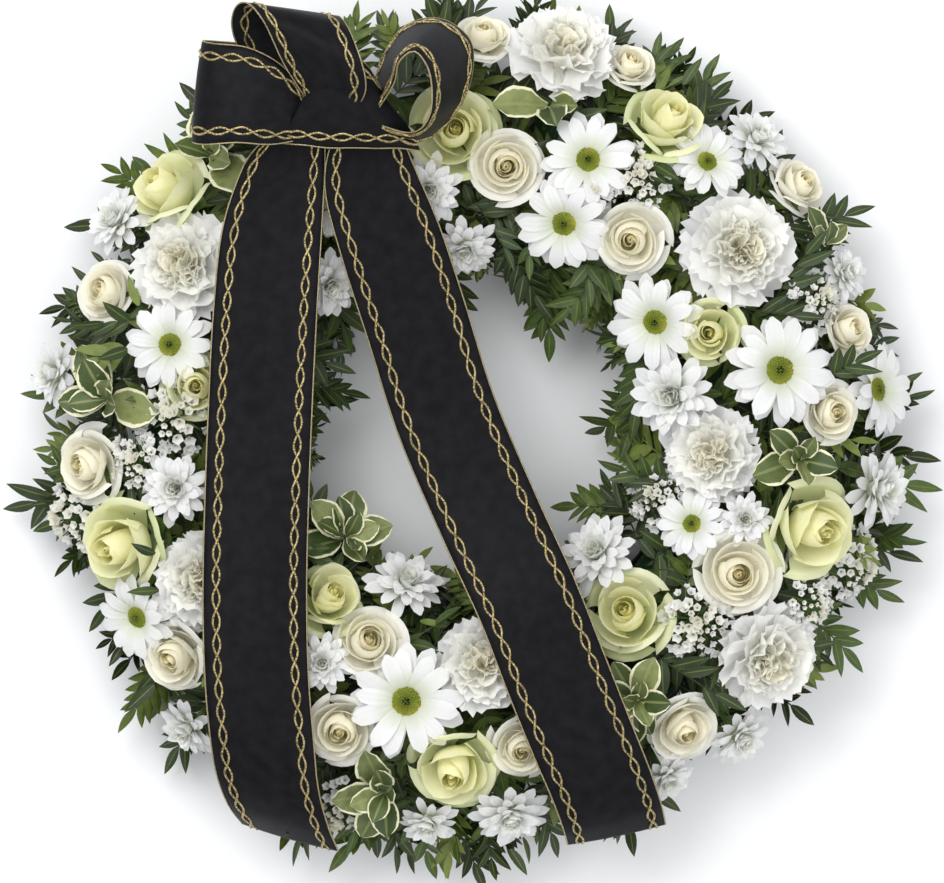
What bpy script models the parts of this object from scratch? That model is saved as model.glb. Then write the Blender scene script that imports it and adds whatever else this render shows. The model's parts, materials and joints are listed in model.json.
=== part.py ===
"""Funeral wreath lying on its base: a ring of wet floral foam in a plastic tray, dressed with roses,
spray roses, carnations, chrysanthemums, statice and greens, and a black ribbon bow with two tails.

Sizes are in millimetres times MM, so the scene is in metres. +Z is up, +Y is the end that carries the
bow, and the ring lies flat. A bloom's place is its angle round the ring and its offset from the middle
of the foam, both read off the photograph at 0.6 mm a pixel.
"""

import math
import random

import bmesh
import bpy
from mathutils import Vector

MM = 0.001
CLEARANCE = 0.35 * MM

# The ring of foam and its tray
RING_R = 165 * MM
FOAM_HALF_WIDTH = 35 * MM
FOAM_TOP = 58 * MM
FOAM_CHAMFER = 13 * MM
TRAY_WALL = 2 * MM
TRAY_HEIGHT = 18 * MM
RING_SEGMENTS = 24
TUBE_Z = 28 * MM

# The dome of blooms over the ring: half its width, and its height over the tube's centre
DOME_HALF_WIDTH = 88 * MM
DOME_HEIGHT = 70 * MM
BLOOM_CEILING = 114 * MM
# Heads grow this much past the size read off the photograph, until they press on their neighbours:
# more on top of the ring, where they are packed close, than on its sides
FULLNESS_TOP = 1.28
FULLNESS_SIDE = 1.2
SIDE_OFFSET_MM = 48
OUTER_FRINGE_DEG = 9
INNER_FRINGE_DEG = 14

# Stems
STEM_HALF = 1.7 * MM
FORK_REACH = 42 * MM
STEM_END_REACH = 16 * MM
STEM_END_SIDE_REACH = 22 * MM

# Greens: runners that lie along both sides of the foam and carry the fronds
RUNNER_HALF = 1.5 * MM
RUNNER_STEP_DEG = 12
OUTER_RUNNER = (206 * MM, 28 * MM)
INNER_RUNNER = (125.5 * MM, 27 * MM)
SECTOR_GAP_DEG = 0.35
RACHIS_HALF = 1.1 * MM
LEAFLET_SLANT_DEG = 44
LEAFLET_WIDTH_SHARE = 0.2

# Ribbon. A station of a band is its middle (x, y, z), and its half width as a vector, all in mm.
RIBBON_WIDTH = 62 * MM
RIBBON_THICKNESS = 1.2 * MM
GATHER_THICKNESS = 5 * MM
KNOT = Vector((-72, 177, 133)) * MM
KNOT_RADIUS = 8.5 * MM
KNOT_ENDS = (-103 * MM, -42 * MM)
WIRE_HALF = 0.8 * MM

# Each stemmed node: its heads as (kind, angle round the ring, offset from the ring's middle in mm,
# radius in mm). Several heads share one forked stem.
STEMMED = {
    "rose_1": [("rose", 142, 63, 22)],
    "rose_2": [("rose", 93, 10, 23)],
    "rose_3": [("rose", 57, 50, 21)],
    "rose_4": [("rose", 21, -11, 18)],
    "rose_5": [("rose", 172, 0, 18)],
    "rose_6": [("rose", 199, 53, 25)],
    "rose_7": [("rose", 231, -32, 19)],
    "rose_8": [("rose", 343, 46, 26)],
    "rose_9": [("rose", 310, -18, 22)],
    "rose_10": [("rose", 267, 38, 23)],
    "carnation_1": [("carnation", 33, 27, 30)],
    "carnation_2": [("carnation", 151, 30, 28)],
    "carnation_3": [("carnation", 353, -19, 25)],
    "carnation_4": [("carnation", 322, 60, 28)],
    "carnation_5": [("carnation", 76, 64, 29)],
    "carnation_6": [("carnation", 273, -22, 25)],
    "carnation_7": [("carnation", 210, 20, 25)],
    "spray_rose_1": [("spray_rose", 82, -9, 19), ("spray_rose", 49, -18, 19)],
    "spray_rose_2": [("spray_rose", 88, 67, 15), ("spray_rose", 66, 70, 14)],
    "spray_rose_3": [("spray_rose", 36, 78, 16)],
    "spray_rose_4": [("spray_rose", 14, 68, 15), ("spray_rose", 2, 50, 16)],
    "spray_rose_5": [("spray_rose", 160, 66, 17)],
    "spray_rose_6": [("spray_rose", 186, 64, 19)],
    "spray_rose_7": [("spray_rose", 218, 58, 19)],
    "spray_rose_8": [("spray_rose", 245, -22, 19), ("spray_rose", 247, 32, 18)],
    "spray_rose_9": [("spray_rose", 331, 17, 21)],
    "spray_rose_10": [("spray_rose", 305, 56, 18)],
    "spray_rose_11": [("spray_rose", 279, 30, 16), ("spray_rose", 286, -4, 17)],
    "chrysanthemum_1": [("daisy", 66, 8, 24), ("daisy", 65, -32, 24)],
    "chrysanthemum_2": [("daisy", 48, 46, 20), ("double", 45, 74, 20)],
    "chrysanthemum_3": [
        ("daisy", 10, 22, 28), ("daisy", 5, 79, 24), ("double", 22, 74, 17), ("double", 351, 79, 24),
    ],
    "chrysanthemum_4": [("daisy", 29, -38, 25), ("double", 8, -40, 26)],
    "chrysanthemum_5": [("daisy", 336, -20, 18), ("double", 341, 8, 15), ("double", 315, -54, 23)],
    "chrysanthemum_6": [("double", 311, 79, 19), ("double", 299, 74, 17)],
    "chrysanthemum_7": [("double", 276, 66, 22), ("double", 264, 72, 17), ("daisy", 288, 65, 20)],
    "chrysanthemum_8": [("double", 100, -22, 19), ("double", 92, -57, 19), ("daisy", 119, -14, 20)],
    "chrysanthemum_9": [("double", 135, -45, 19), ("daisy", 137, 4, 22), ("daisy", 154, -32, 21)],
    "chrysanthemum_10": [("daisy", 165, 20, 23), ("double", 173, 82, 20), ("double", 150, 76, 21)],
    "chrysanthemum_11": [("daisy", 210, 64, 22), ("double", 227, 80, 19), ("daisy", 235, 54, 20)],
    "chrysanthemum_12": [("double", 248, -60, 22), ("double", 238, 2, 17), ("daisy", 257, 4, 29)],
    "chrysanthemum_13": [("double", 192, 14, 20), ("double", 194, -40, 22)],
    "statice_1": [("statice", 56, 14, 12)],
    "statice_2": [("statice", 339, -46, 13), ("statice", 319, 14, 15)],
    "statice_3": [("statice", 340, 80, 16), ("statice", 332, 66, 12)],
    "statice_4": [("statice", 193, 80, 15)],
    "statice_5": [("statice", 251, 78, 16)],
}

# Each node of greens: its side of the foam, the angles it spans, its pittosporum rosettes as
# (angle, offset in mm, radius in mm), and the tips of its pistacia fronds as (angle, distance from
# the ring's centre in mm)
GREENS = {
    "greens_outer_1": (
        "outer", 5, 95, [(27, 73, 18), (76, 31, 26)],
        [(13, 264), (27, 254), (42, 262), (58, 264), (71, 270), (87, 256)]),
    "greens_outer_2": (
        "outer", 95, 185, [(134, 58, 25), (176, 52, 24)],
        [(104, 254), (121, 258), (136, 260), (152, 270), (165, 264), (178, 266)]),
    "greens_outer_3": (
        "outer", 185, 275, [(257, 60, 22)],
        [(192, 286), (207, 262), (222, 264), (238, 264), (252, 266), (267, 275)]),
    "greens_outer_4": (
        "outer", 275, 365, [(301, 27, 18), (354, 32, 19)],
        [(283, 264), (297, 268), (311, 264), (326, 262), (341, 266), (354.5, 284)]),
    "greens_inner_1": ("inner", 10, 70, [], [(26, 94), (53, 92)]),
    "greens_inner_2": ("inner", 70, 130, [], [(86, 90), (113, 92)]),
    "greens_inner_3": ("inner", 130, 190, [], [(145, 92), (173, 94)]),
    "greens_inner_4": ("inner", 190, 250, [(222, -64, 20)], [(205, 93), (236, 95)]),
    "greens_inner_5": ("inner", 250, 310, [], [(266, 94), (293, 92)]),
    "greens_inner_6": ("inner", 310, 370, [], [(326, 94), (353, 95)]),
}

# Colour, roughness and metallic value of each finish
FINISHES = {
    "tray": ((0.012, 0.03, 0.016), 0.5, 0.0),
    "foam": ((0.03, 0.085, 0.035), 0.95, 0.0),
    "rose": ((0.78, 0.82, 0.48), 0.6, 0.0),
    "spray_rose": ((0.86, 0.82, 0.62), 0.6, 0.0),
    "carnation": ((0.9, 0.89, 0.84), 0.7, 0.0),
    "chrysanthemum": ((0.9, 0.91, 0.92), 0.65, 0.0),
    "statice": ((0.82, 0.82, 0.78), 0.8, 0.0),
    "greens": ((0.05, 0.12, 0.03), 0.5, 0.0),
    "ribbon": ((0.012, 0.012, 0.015), 0.45, 0.0),
    "wire": ((0.03, 0.1, 0.04), 0.4, 0.6),
}


def clear_scene():
    for obj in list(bpy.data.objects):
        bpy.data.objects.remove(obj)


def finish(name):
    """The finish's material, made once."""
    material = bpy.data.materials.get(name)
    if material is None:
        colour, roughness, metallic = FINISHES[name]
        material = bpy.data.materials.new(name)
        material.use_nodes = True
        shader = material.node_tree.nodes["Principled BSDF"]
        shader.inputs["Base Color"].default_value = (*colour, 1)
        shader.inputs["Roughness"].default_value = roughness
        shader.inputs["Metallic"].default_value = metallic
    return material


def strip(lower, upper, blade):
    """Triangles between two rings of point numbers. Rings of unlike length are joined by fans. On a
    blade, whose rings are left edge, top, right edge and underside, both faces are split alike."""
    m, n = len(lower), len(upper)
    faces = []
    i = j = 0
    while i < m or j < n:
        a, b = lower[i % m], upper[j % n]
        next_a, next_b = lower[(i + 1) % m], upper[(j + 1) % n]
        step_a, step_b = (i + 1) / m, (j + 1) / n
        if step_a == step_b:
            if blade and i % 2:
                faces += [(a, next_a, b), (next_a, next_b, b)]
            else:
                faces += [(a, next_a, next_b), (a, next_b, b)]
            i += 1
            j += 1
        elif step_a < step_b:
            faces.append((a, next_a, b))
            i += 1
        else:
            faces.append((a, next_b, b))
            j += 1
    return faces


def skin(name, rings, material, blade=False):
    """A closed solid under a skin of triangles laid over rings of points, from one end to the other.
    A ring of one point is a tip, and points that coincide become one."""
    points, numbered = [], []
    for ring in rings:
        numbered.append(range(len(points), len(points) + len(ring)))
        points += ring
    faces = []
    for lower, upper in zip(numbered, numbered[1:]):
        faces += strip(lower, upper, blade)
    for k in range(1, len(numbered[0]) - 1):
        faces.append((numbered[0][0], numbered[0][k + 1], numbered[0][k]))
    for k in range(1, len(numbered[-1]) - 1):
        faces.append((numbered[-1][0], numbered[-1][k], numbered[-1][k + 1]))
    built = bmesh.new()
    verts = [built.verts.new(p) for p in points]
    for face in faces:
        if len(set(face)) == 3 and not built.faces.get([verts[k] for k in face]):
            built.faces.new([verts[k] for k in face])
    bmesh.ops.remove_doubles(built, verts=built.verts, dist=0.005 * MM)
    bmesh.ops.recalc_face_normals(built, faces=built.faces)
    mesh = bpy.data.meshes.new(name)
    built.to_mesh(mesh)
    built.free()
    obj = bpy.data.objects.new(name, mesh)
    obj.data.materials.append(finish(material))
    bpy.context.scene.collection.objects.link(obj)
    return obj


def boolean(obj, others, operation):
    """Joins others to obj, or cuts them from it, applies the result and removes them."""
    group = bpy.data.collections.new("operands")
    bpy.context.scene.collection.children.link(group)
    for other in others:
        bpy.context.scene.collection.objects.unlink(other)
        group.objects.link(other)
    modifier = obj.modifiers.new("Boolean", "BOOLEAN")
    modifier.operation = operation
    modifier.operand_type = "COLLECTION"
    modifier.collection = group
    modifier.solver = "MANIFOLD"
    bpy.context.view_layer.update()
    graph = bpy.context.evaluated_depsgraph_get()
    mesh = bpy.data.meshes.new_from_object(obj.evaluated_get(graph))
    obj.modifiers.clear()
    obj.data = mesh
    for other in list(group.objects):
        bpy.data.objects.remove(other)
    bpy.data.collections.remove(group)
    return obj


def joined(name, pieces):
    """The pieces as one object of this name."""
    first, *others = pieces
    if others:
        boolean(first, others, "UNION")
    first.name = name
    return first


def rounded(direction):
    """Two unit vectors square to a direction."""
    side = direction.cross(Vector((0, 0, 1)))
    if side.length < 0.01:
        side = Vector((1, 0, 0))
    side.normalize()
    return side, side.cross(direction).normalized()


def around(centre, direction, half, count=4):
    """A ring of points round a line, anticlockwise seen from where the line goes."""
    side, up = rounded(direction)
    turns = [math.tau * (k + 0.5) / count for k in range(count)]
    return [centre + half * (-math.cos(t) * side + math.sin(t) * up) for t in turns]


def tube_rings(path, half):
    """Rings of four points along a path."""
    rings = []
    for k, point in enumerate(path):
        ahead = path[min(k + 1, len(path) - 1)]
        behind = path[max(k - 1, 0)]
        rings.append(around(point, (ahead - behind).normalized(), half))
    return rings


def compass(angle_deg):
    """Outward and tangent directions at an angle round the ring."""
    a = math.radians(angle_deg)
    return Vector((math.cos(a), math.sin(a), 0)), Vector((-math.sin(a), math.cos(a), 0))


def tube_centre(angle_deg):
    outward, _ = compass(angle_deg)
    return outward * RING_R + Vector((0, 0, TUBE_Z))


class Site:
    """The place of one head on the dome: its centre, the way it faces, and its radius."""

    def __init__(self, kind, angle_deg, offset_mm, radius_mm):
        outward, self.tangent = compass(angle_deg)
        lean = math.acos(offset_mm * MM / DOME_HALF_WIDTH)
        self.angle_deg = angle_deg
        self.outward = outward
        self.root = tube_centre(angle_deg)
        reach = outward * math.cos(lean) * DOME_HALF_WIDTH + Vector((0, 0, math.sin(lean) * DOME_HEIGHT))
        self.centre = self.root + reach
        self.facing = reach.normalized()
        self.across = self.facing.cross(self.tangent).normalized()
        fullness = FULLNESS_TOP if abs(offset_mm) < SIDE_OFFSET_MM else FULLNESS_SIDE
        self.radius = radius_mm * fullness * MM
        self.kind = kind
        points = [point for ring in KINDS[kind][1]() for point in ring]
        slope = abs(self.across.z)
        rise = max(height * self.facing.z + radius * slope for _, radius, height in points)
        self.centre.z -= max(0.0, self.centre.z + rise * self.radius - BLOOM_CEILING)

    def walls(self, others):
        """Planes that the head stays behind, as (normal, distance from the centre): the ones between
        it and its neighbours, and the leaf fringes below it on both sides."""
        found = []
        for fringe, way in ((OUTER_FRINGE_DEG, 1), (INNER_FRINGE_DEG, -1)):
            tilt = math.radians(fringe)
            down = self.outward * way * math.sin(tilt) - Vector((0, 0, math.cos(tilt)))
            found.append((down, -(self.centre - self.root).dot(down) - CLEARANCE))
        for other in others:
            apart = other.centre - self.centre
            distance = apart.length
            if other is self or distance > 4 * (self.radius + other.radius):
                continue
            share = (distance**2 + self.radius**2 - other.radius**2) / (2 * distance)
            found.append((apart / distance, share - CLEARANCE))
        return found

    def neck(self):
        """Just under the head, where its stem ends."""
        lowest = KINDS[self.kind][1]()[0][0][2]
        return self.centre + self.facing * (lowest * self.radius - 2 * MM)

    def room(self, walls, turn, low, high):
        """How far the head may reach at this turn round its own axis, from height low to high."""
        way = math.cos(turn) * self.tangent + math.sin(turn) * self.across
        reach = 10 * self.radius
        for normal, distance in walls:
            slope = way.dot(normal)
            if slope <= 0.02:
                continue
            for height in (low, high):
                reach = min(reach, (distance - height * self.facing.dot(normal)) / slope)
        return reach

    def point(self, turn, radius, height):
        """A point of the head, by its turn, distance from the axis and height over the centre."""
        way = math.cos(turn) * self.tangent + math.sin(turn) * self.across
        return self.centre + radius * way + height * self.facing


def lobed(count, rows):
    """Rings with count petals, each a peak and a notch. A row is (radius at the peaks, radius at the
    notches, height at the peaks, height at the notches), and its peaks move on by half a petal
    when it starts a new layer, which a fifth value of 1 says."""
    rings = []
    shift = 0
    for peak, notch, high, low, *new_layer in rows:
        shift += len(new_layer)
        ring = []
        for k in range(2 * count):
            at_peak = (k + shift) % 2 == 0
            ring.append((math.tau * k / (2 * count), peak if at_peak else notch, high if at_peak else low))
        rings.append(ring)
    return rings


def rayed(count, notch, tip, notch_height, tip_height, width_share, alternate):
    """One ring of blunt strap petals: a notch and two corners for each. Every second petal is lower
    and a little shorter by the alternate share."""
    ring = []
    pitch = math.tau / count
    for k in range(count):
        middle = k * pitch
        drop = alternate * (k % 2)
        ring.append((middle - pitch / 2, notch, notch_height))
        ring.append((middle - pitch * width_share, tip * (1 - drop), tip_height - drop))
        ring.append((middle + pitch * width_share, tip * (1 - 0.6 * drop), tip_height - drop))
    return ring


def plain(count, radius, height, shift=0.0):
    return [(math.tau * (k + shift) / count, radius, height) for k in range(count)]


def rose_rings():
    return lobed(5, [
        (0.26, 0.26, -0.85, -0.85),
        (0.74, 0.68, -0.25, -0.25),
        (1.0, 0.8, 0.3, 0.08),
        (0.62, 0.56, 0.0, 0.0),
        (0.76, 0.6, 0.55, 0.42, 1),
        (0.42, 0.4, 0.2, 0.2),
        (0.48, 0.38, 0.72, 0.6, 1),
        (0.2, 0.16, 0.4, 0.4),
    ]) + [[(0, 0, 0.72)]]


def spray_rose_rings():
    return lobed(5, [
        (0.24, 0.24, -0.6, -0.6),
        (0.74, 0.68, -0.1, -0.1),
        (1.0, 0.85, 0.22, 0.1),
        (0.64, 0.6, 0.05, 0.05),
        (0.72, 0.6, 0.42, 0.32, 1),
        (0.36, 0.3, 0.16, 0.16),
    ]) + [[(0, 0, 0.46)]]


def carnation_rings():
    return lobed(7, [
        (0.16, 0.16, -0.6, -0.6),
        (0.34, 0.32, -0.15, -0.15),
        (1.0, 0.84, 0.06, -0.06),
        (0.56, 0.5, 0.1, 0.1),
        (0.82, 0.66, 0.34, 0.24, 1),
        (0.4, 0.36, 0.26, 0.26),
        (0.56, 0.4, 0.56, 0.44, 1),
    ]) + [[(0, 0, 0.4)]]


def daisy_rings():
    count = 9
    return [
        plain(4, 0.09, -0.2),
        rayed(count, 0.32, 1.0, -0.02, 0.03, 0.3, 0.1),
        plain(count, 0.25, 0.1, -0.5),
        [(0, 0, 0.2)],
    ]


def double_rings():
    lower, upper = lobed(7, [(1.0, 0.5, 0.0, -0.12), (0.76, 0.46, 0.44, 0.2, 1)])
    return [
        plain(4, 0.12, -0.34),
        lower,
        plain(7, 0.38, 0.06, -0.5),
        upper,
        plain(7, 0.14, 0.24, -0.5),
        [(0, 0, 0.42)],
    ]


def statice_rings():
    return lobed(5, [
        (0.3, 0.3, -0.7, -0.7),
        (1.0, 0.55, -0.1, -0.3),
        (0.66, 0.4, 0.42, 0.2, 1),
    ]) + [[(0, 0, 0.55)]]


def leaf_tier(count, notch, tip, base_height, tip_height):
    """One ring of broad leaves with waved edges: a notch and three edge points for each."""
    ring = []
    pitch = math.tau / count
    rise = tip_height - base_height
    for k in range(count):
        middle = k * pitch
        wave = 0.07 if k % 2 else -0.07
        ring.append((middle - 0.5 * pitch, notch, base_height))
        ring.append((middle - 0.32 * pitch, tip * 0.72, base_height + 0.6 * rise + wave))
        ring.append((middle, tip, tip_height - wave))
        ring.append((middle + 0.32 * pitch, tip * 0.76, base_height + 0.6 * rise + wave))
    return ring


def rosette_rings():
    return [
        plain(5, 0.16, -0.4, -0.5),
        leaf_tier(5, 0.24, 1.0, -0.22, 0.06),
        plain(5, 0.2, 0.0, -0.5),
        leaf_tier(5, 0.24, 0.6, 0.06, 0.5),
        plain(5, 0.12, 0.14, -0.5),
        [(0, 0, 0.3)],
    ]


# Each kind of head: its finish, the rings of its form as shares of its radius, and whether all its
# rings are squeezed alike where a neighbour presses on it, or only its petals are shortened
KINDS = {
    "rose": ("rose", rose_rings, True),
    "spray_rose": ("spray_rose", spray_rose_rings, True),
    "carnation": ("carnation", carnation_rings, True),
    "daisy": ("chrysanthemum", daisy_rings, False),
    "double": ("chrysanthemum", double_rings, False),
    "statice": ("statice", statice_rings, True),
    "rosette": ("greens", rosette_rings, False),
}


def head_rings(site, walls, turn_from):
    """The head's rings in place, pressed back wherever a neighbour leaves less room than its radius."""
    _, form, whole = KINDS[site.kind]
    rings = form()
    heights = [height for ring in rings for _, _, height in ring]
    low, high = min(heights) * site.radius, max(heights) * site.radius
    placed = []
    for ring in rings:
        points = []
        for turn, radius, height in ring:
            turn += turn_from
            if whole:
                room = site.room(walls, turn, low, high)
                reach = radius * min(site.radius, room)
            else:
                level = height * site.radius
                room = site.room(walls, turn, min(level, 0), max(level, 0))
                reach = min(radius * site.radius, room)
            points.append(site.point(turn, max(reach, 0.0), height * site.radius))
        placed.append(points)
    return placed


def nearest_approach(a, b, c, d):
    """Least distance between two straight stretches."""
    u, v, w = b - a, d - c, a - c
    uu, uv, vv, uw, vw = u.dot(u), u.dot(v), v.dot(v), u.dot(w), v.dot(w)
    det = uu * vv - uv * uv
    s = 0.0 if det < 1e-14 else min(1.0, max(0.0, (uv * vw - vv * uw) / det))
    t = min(1.0, max(0.0, (uv * s + vw) / vv))
    s = min(1.0, max(0.0, (uv * t - uw) / uu))
    return (w + s * u - t * v).length


class Ways:
    """The stems laid so far, so that the next can be led clear of them."""

    SPARE = 2 * STEM_HALF + 2.2 * MM

    def __init__(self):
        self.stretches = []

    def free(self, stretches):
        return min(
            (nearest_approach(a, b, c, d) for a, b in stretches for c, d in self.stretches),
            default=1.0,
        )

    def lay(self, stretches):
        self.stretches += stretches


def foot_of(direction_from, angle_deg):
    """Where a stem ends in the foam, below a point outside it: further in under the top than the side."""
    root = tube_centre(angle_deg)
    way = (direction_from - root).normalized()
    side = abs(way.dot(compass(angle_deg)[0]))
    reach = STEM_END_REACH + (STEM_END_SIDE_REACH - STEM_END_REACH) * side
    return root + way * reach


def spare_over_foam(a, b):
    """How far a straight branch keeps outside the foam, at its nearest."""
    least = 1.0
    for k in range(9):
        point = a.lerp(b, k / 8)
        side = abs(math.hypot(point.x, point.y) - RING_R) - FOAM_HALF_WIDTH
        over = point.z - FOAM_TOP
        corner = (side + over + FOAM_CHAMFER) / math.sqrt(2)
        least = min(least, max(side, over, corner))
    return least


def fork_for(sites, ways):
    """Where a shared stem forks: the spot near the heads' middle that keeps clearest of other stems.
    Gives the fork, the foot and the straight stretches."""
    mean_angle = math.degrees(math.atan2(
        sum(s.outward.y for s in sites), sum(s.outward.x for s in sites)))
    necks = [s.neck() for s in sites]
    best = None
    for shift in range(-12, 13, 2):
        for lean in range(25, 160, 9):
            angle = mean_angle + shift
            outward, _ = compass(angle)
            way = outward * math.cos(math.radians(lean)) + Vector((0, 0, math.sin(math.radians(lean))))
            fork = tube_centre(angle) + way * FORK_REACH
            foot = foot_of(fork, angle)
            branches = [(fork, neck) for neck in necks]
            stretches = [(fork, foot)] + branches
            longest = max((neck - fork).length for neck in necks)
            over = min(spare_over_foam(*branch) for branch in branches)
            score = min(ways.free(stretches), Ways.SPARE) + 3 * min(0, over - 3 * MM) - 0.02 * longest
            if best is None or score > best[0]:
                best = (score, fork, foot, stretches)
    return best[1:]


def foam_holes(feet):
    """Plain square holes in the foam, one for each stem, a little wider than the stem."""
    cutters = []
    for number, (foot, top, half) in enumerate(feet):
        way = (top - foot).normalized()
        ends = [foot - way * MM, foot + way * 40 * MM]
        cutters.append(skin(f"hole_{number}", tube_rings(ends, half + CLEARANCE), "foam"))
    return cutters


def single_stems(all_sites, ways):
    """The straight stem of each head that has its own, as {name: (fork, foot)} with no fork."""
    plans = {}
    for name, sites in all_sites.items():
        if name in STEMMED and len(sites) == 1:
            foot = foot_of(sites[0].neck(), sites[0].angle_deg)
            ways.lay([(foot, sites[0].neck())])
            plans[name] = (None, foot)
    return plans


def forked_stems(all_sites, ways):
    plans = {}
    for name, sites in all_sites.items():
        if name in STEMMED and len(sites) > 1:
            fork, foot, stretches = fork_for(sites, ways)
            ways.lay(stretches)
            plans[name] = (fork, foot)
    return plans


def stemmed_node(name, sites, fork, foot, crowd, draw):
    """One bloom, or the blooms of one forked stem."""
    pieces = []
    for number, site in enumerate(sites):
        if fork is None:
            path = [foot, site.neck()]
        elif number == 0:
            path = [foot, foot.lerp(fork, 0.85), fork, site.neck()]
        else:
            past = (fork - site.neck()).normalized() * 0.5 * MM
            path = [fork + past, site.neck()]
        half = STEM_HALF * (1 if number == 0 else 0.86)
        crown = head_rings(site, site.walls(crowd), draw.uniform(0, math.tau))
        pieces.append(skin(f"{name}_{number}", tube_rings(path, half) + crown, KINDS[site.kind][0]))
    joined(name, pieces)


def on_runner(side, angle_deg, beyond=0.0):
    radius, height = OUTER_RUNNER if side == "outer" else INNER_RUNNER
    outward, _ = compass(angle_deg)
    way = 1 if side == "outer" else -1
    return outward * (radius + way * beyond) + Vector((0, 0, height))


def branch_from_runner(side, first, last, site, ways):
    """Where on the runner a rosette's stem starts, so that it keeps clear of the other stems."""
    best = None
    for shift in range(-14, 15, 2):
        angle = site.angle_deg + shift
        if not first + 3 < angle < last - 3:
            continue
        start = on_runner(side, angle)
        stretch = (start, site.neck())
        over = spare_over_foam(on_runner(side, angle, 2 * MM), site.neck())
        score = min(ways.free([stretch]), Ways.SPARE) + 3 * min(0, over - 3 * MM) - 0.0001 * abs(shift)
        if best is None or score > best[0]:
            best = (score, start, stretch)
    ways.lay([best[2]])
    return best[1]


def root_of_runner(side, first, last, ways):
    """The short stem that holds a runner in the foam, as (foot, the point it meets on the runner)."""
    best = None
    for step in range(-8, 9):
        angle = (first + last) / 2 + 2 * step
        top = on_runner(side, angle)
        foot = foot_of(top, angle)
        score = min(ways.free([(foot, top)]), Ways.SPARE) - 0.0001 * abs(step)
        if best is None or score > best[0]:
            best = (score, foot, top)
    ways.lay([best[1:]])
    return best[1:]


def within(point, first, last):
    """The point, turned back into the node's own sector where it would pass its edge."""
    middle = (first + last) / 2
    reach = (last - first) / 2 - SECTOR_GAP_DEG
    angle = math.degrees(math.atan2(point.y, point.x))
    turn = (angle - middle + 180) % 360 - 180
    turn = max(-reach, min(reach, turn))
    outward, _ = compass(middle + turn)
    return outward * math.hypot(point.x, point.y) + Vector((0, 0, point.z))


def leaflet_rings(middle, ahead, side, length, keep, draw):
    """Two rings through one pair of leaflets, both through the same point of the rib."""
    up = Vector((0, 0, RACHIS_HALF))
    slant = math.radians(LEAFLET_SLANT_DEG)
    rings = [[None] * 4 for _ in range(2)]
    for place, way in ((0, -1), (2, 1)):
        reach = length * draw.uniform(0.86, 1.0)
        axis = way * math.cos(slant) * side + math.sin(slant) * ahead
        square = -way * math.sin(slant) * side + math.cos(slant) * ahead
        sag = Vector((0, 0, draw.uniform(-2.5, 0.5) * MM))
        belly = middle + 0.5 * reach * axis - LEAFLET_WIDTH_SHARE * reach * square
        rings[0][place] = keep(belly + 0.4 * sag)
        rings[1][place] = keep(middle + reach * axis + sag)
    for ring in rings:
        ring[1] = middle + up
        ring[3] = middle - up
    return rings


def frond(name, base, tip, pairs, length, keep, draw):
    """A pinnate sprig: a rib with pairs of lance leaflets and one more at its tip."""
    ahead = (tip - base).normalized()
    side = ahead.cross(Vector((0, 0, 1))).normalized()
    whole = (tip - base).length
    bare = 0.12 * whole
    end_length = 0.3 * whole
    pitch = (whole - bare - end_length) / pairs

    def rib(along):
        arch = math.sin(math.pi * along / whole) * 0.05 * whole
        return base + ahead * along + Vector((0, 0, arch))

    def notch(along):
        up = Vector((0, 0, RACHIS_HALF))
        across = side * RACHIS_HALF
        return [rib(along) - across, rib(along) + up, rib(along) + across, rib(along) - up]

    rings = [notch(-0.3 * MM)]
    for k in range(pairs):
        start = bare + k * pitch
        rings.append(notch(start))
        size = length * (1 - 0.3 * k / pairs)
        rings += leaflet_rings(rib(start + 0.4 * pitch), ahead, side, size, keep, draw)
    start = whole - end_length
    rings.append(notch(start))
    bulge = notch(start + 0.45 * end_length)
    bulge[0] -= side * 0.14 * length
    bulge[2] += side * 0.14 * length
    rings.append([keep(p) for p in bulge])
    rings.append([keep(rib(whole))])
    return skin(name, rings, "greens", blade=True)


def greens_node(name, sites, ways, crowd, draw):
    """A runner with its fronds and rosettes. Returns its foot."""
    side, first, last, _, tips = GREENS[name]

    def keep(point):
        return within(point, first, last)

    count = round((last - first) / RUNNER_STEP_DEG)
    margin = 1.2
    steps = [first + margin + (last - first - 2 * margin) * k / count for k in range(count + 1)]
    arc = [on_runner(side, angle) for angle in steps]
    pieces = [skin(name, tube_rings(arc, RUNNER_HALF), "greens")]
    foot, top = root_of_runner(side, first, last, ways)
    pieces.append(skin("root", tube_rings([foot, top], 0.8 * STEM_HALF), "greens"))
    for site in sites:
        start = branch_from_runner(side, first, last, site, ways)
        path = [start, site.neck()]
        crown = head_rings(site, site.walls(crowd), draw.uniform(0, math.tau))
        pieces.append(skin("rosette", tube_rings(path, 0.8 * STEM_HALF) + crown, "greens"))
    for number, (angle, radius_mm) in enumerate(tips):
        lean = draw.uniform(4, 9) * (-1) ** number
        start = min(last - 4, max(first + 4, angle - lean))
        outward, _ = compass(angle)
        lift = draw.uniform(2, 7) * MM
        tip = keep(outward * radius_mm * MM + Vector((0, 0, OUTER_RUNNER[1] + lift)))
        pairs, length = (2 - number % 2, 30 * MM) if side == "outer" else (2, 18 * MM)
        pieces.append(frond("frond", on_runner(side, start), tip, pairs, length, keep, draw))
    joined(name, pieces)
    return foot, top, 0.8 * STEM_HALF


def band(name, stations):
    """A ribbon swept through its stations: (middle, half width as a vector, half thickness)."""
    rings = []
    for k, (middle, half, thick) in enumerate(stations):
        ahead = stations[min(k + 1, len(stations) - 1)][0] - stations[max(k - 1, 0)][0]
        lift = half.cross(ahead).normalized() * thick
        rings.append([middle - half - lift, middle + half - lift, middle + half + lift, middle - half + lift])
    return skin(name, rings, "ribbon")


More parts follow.
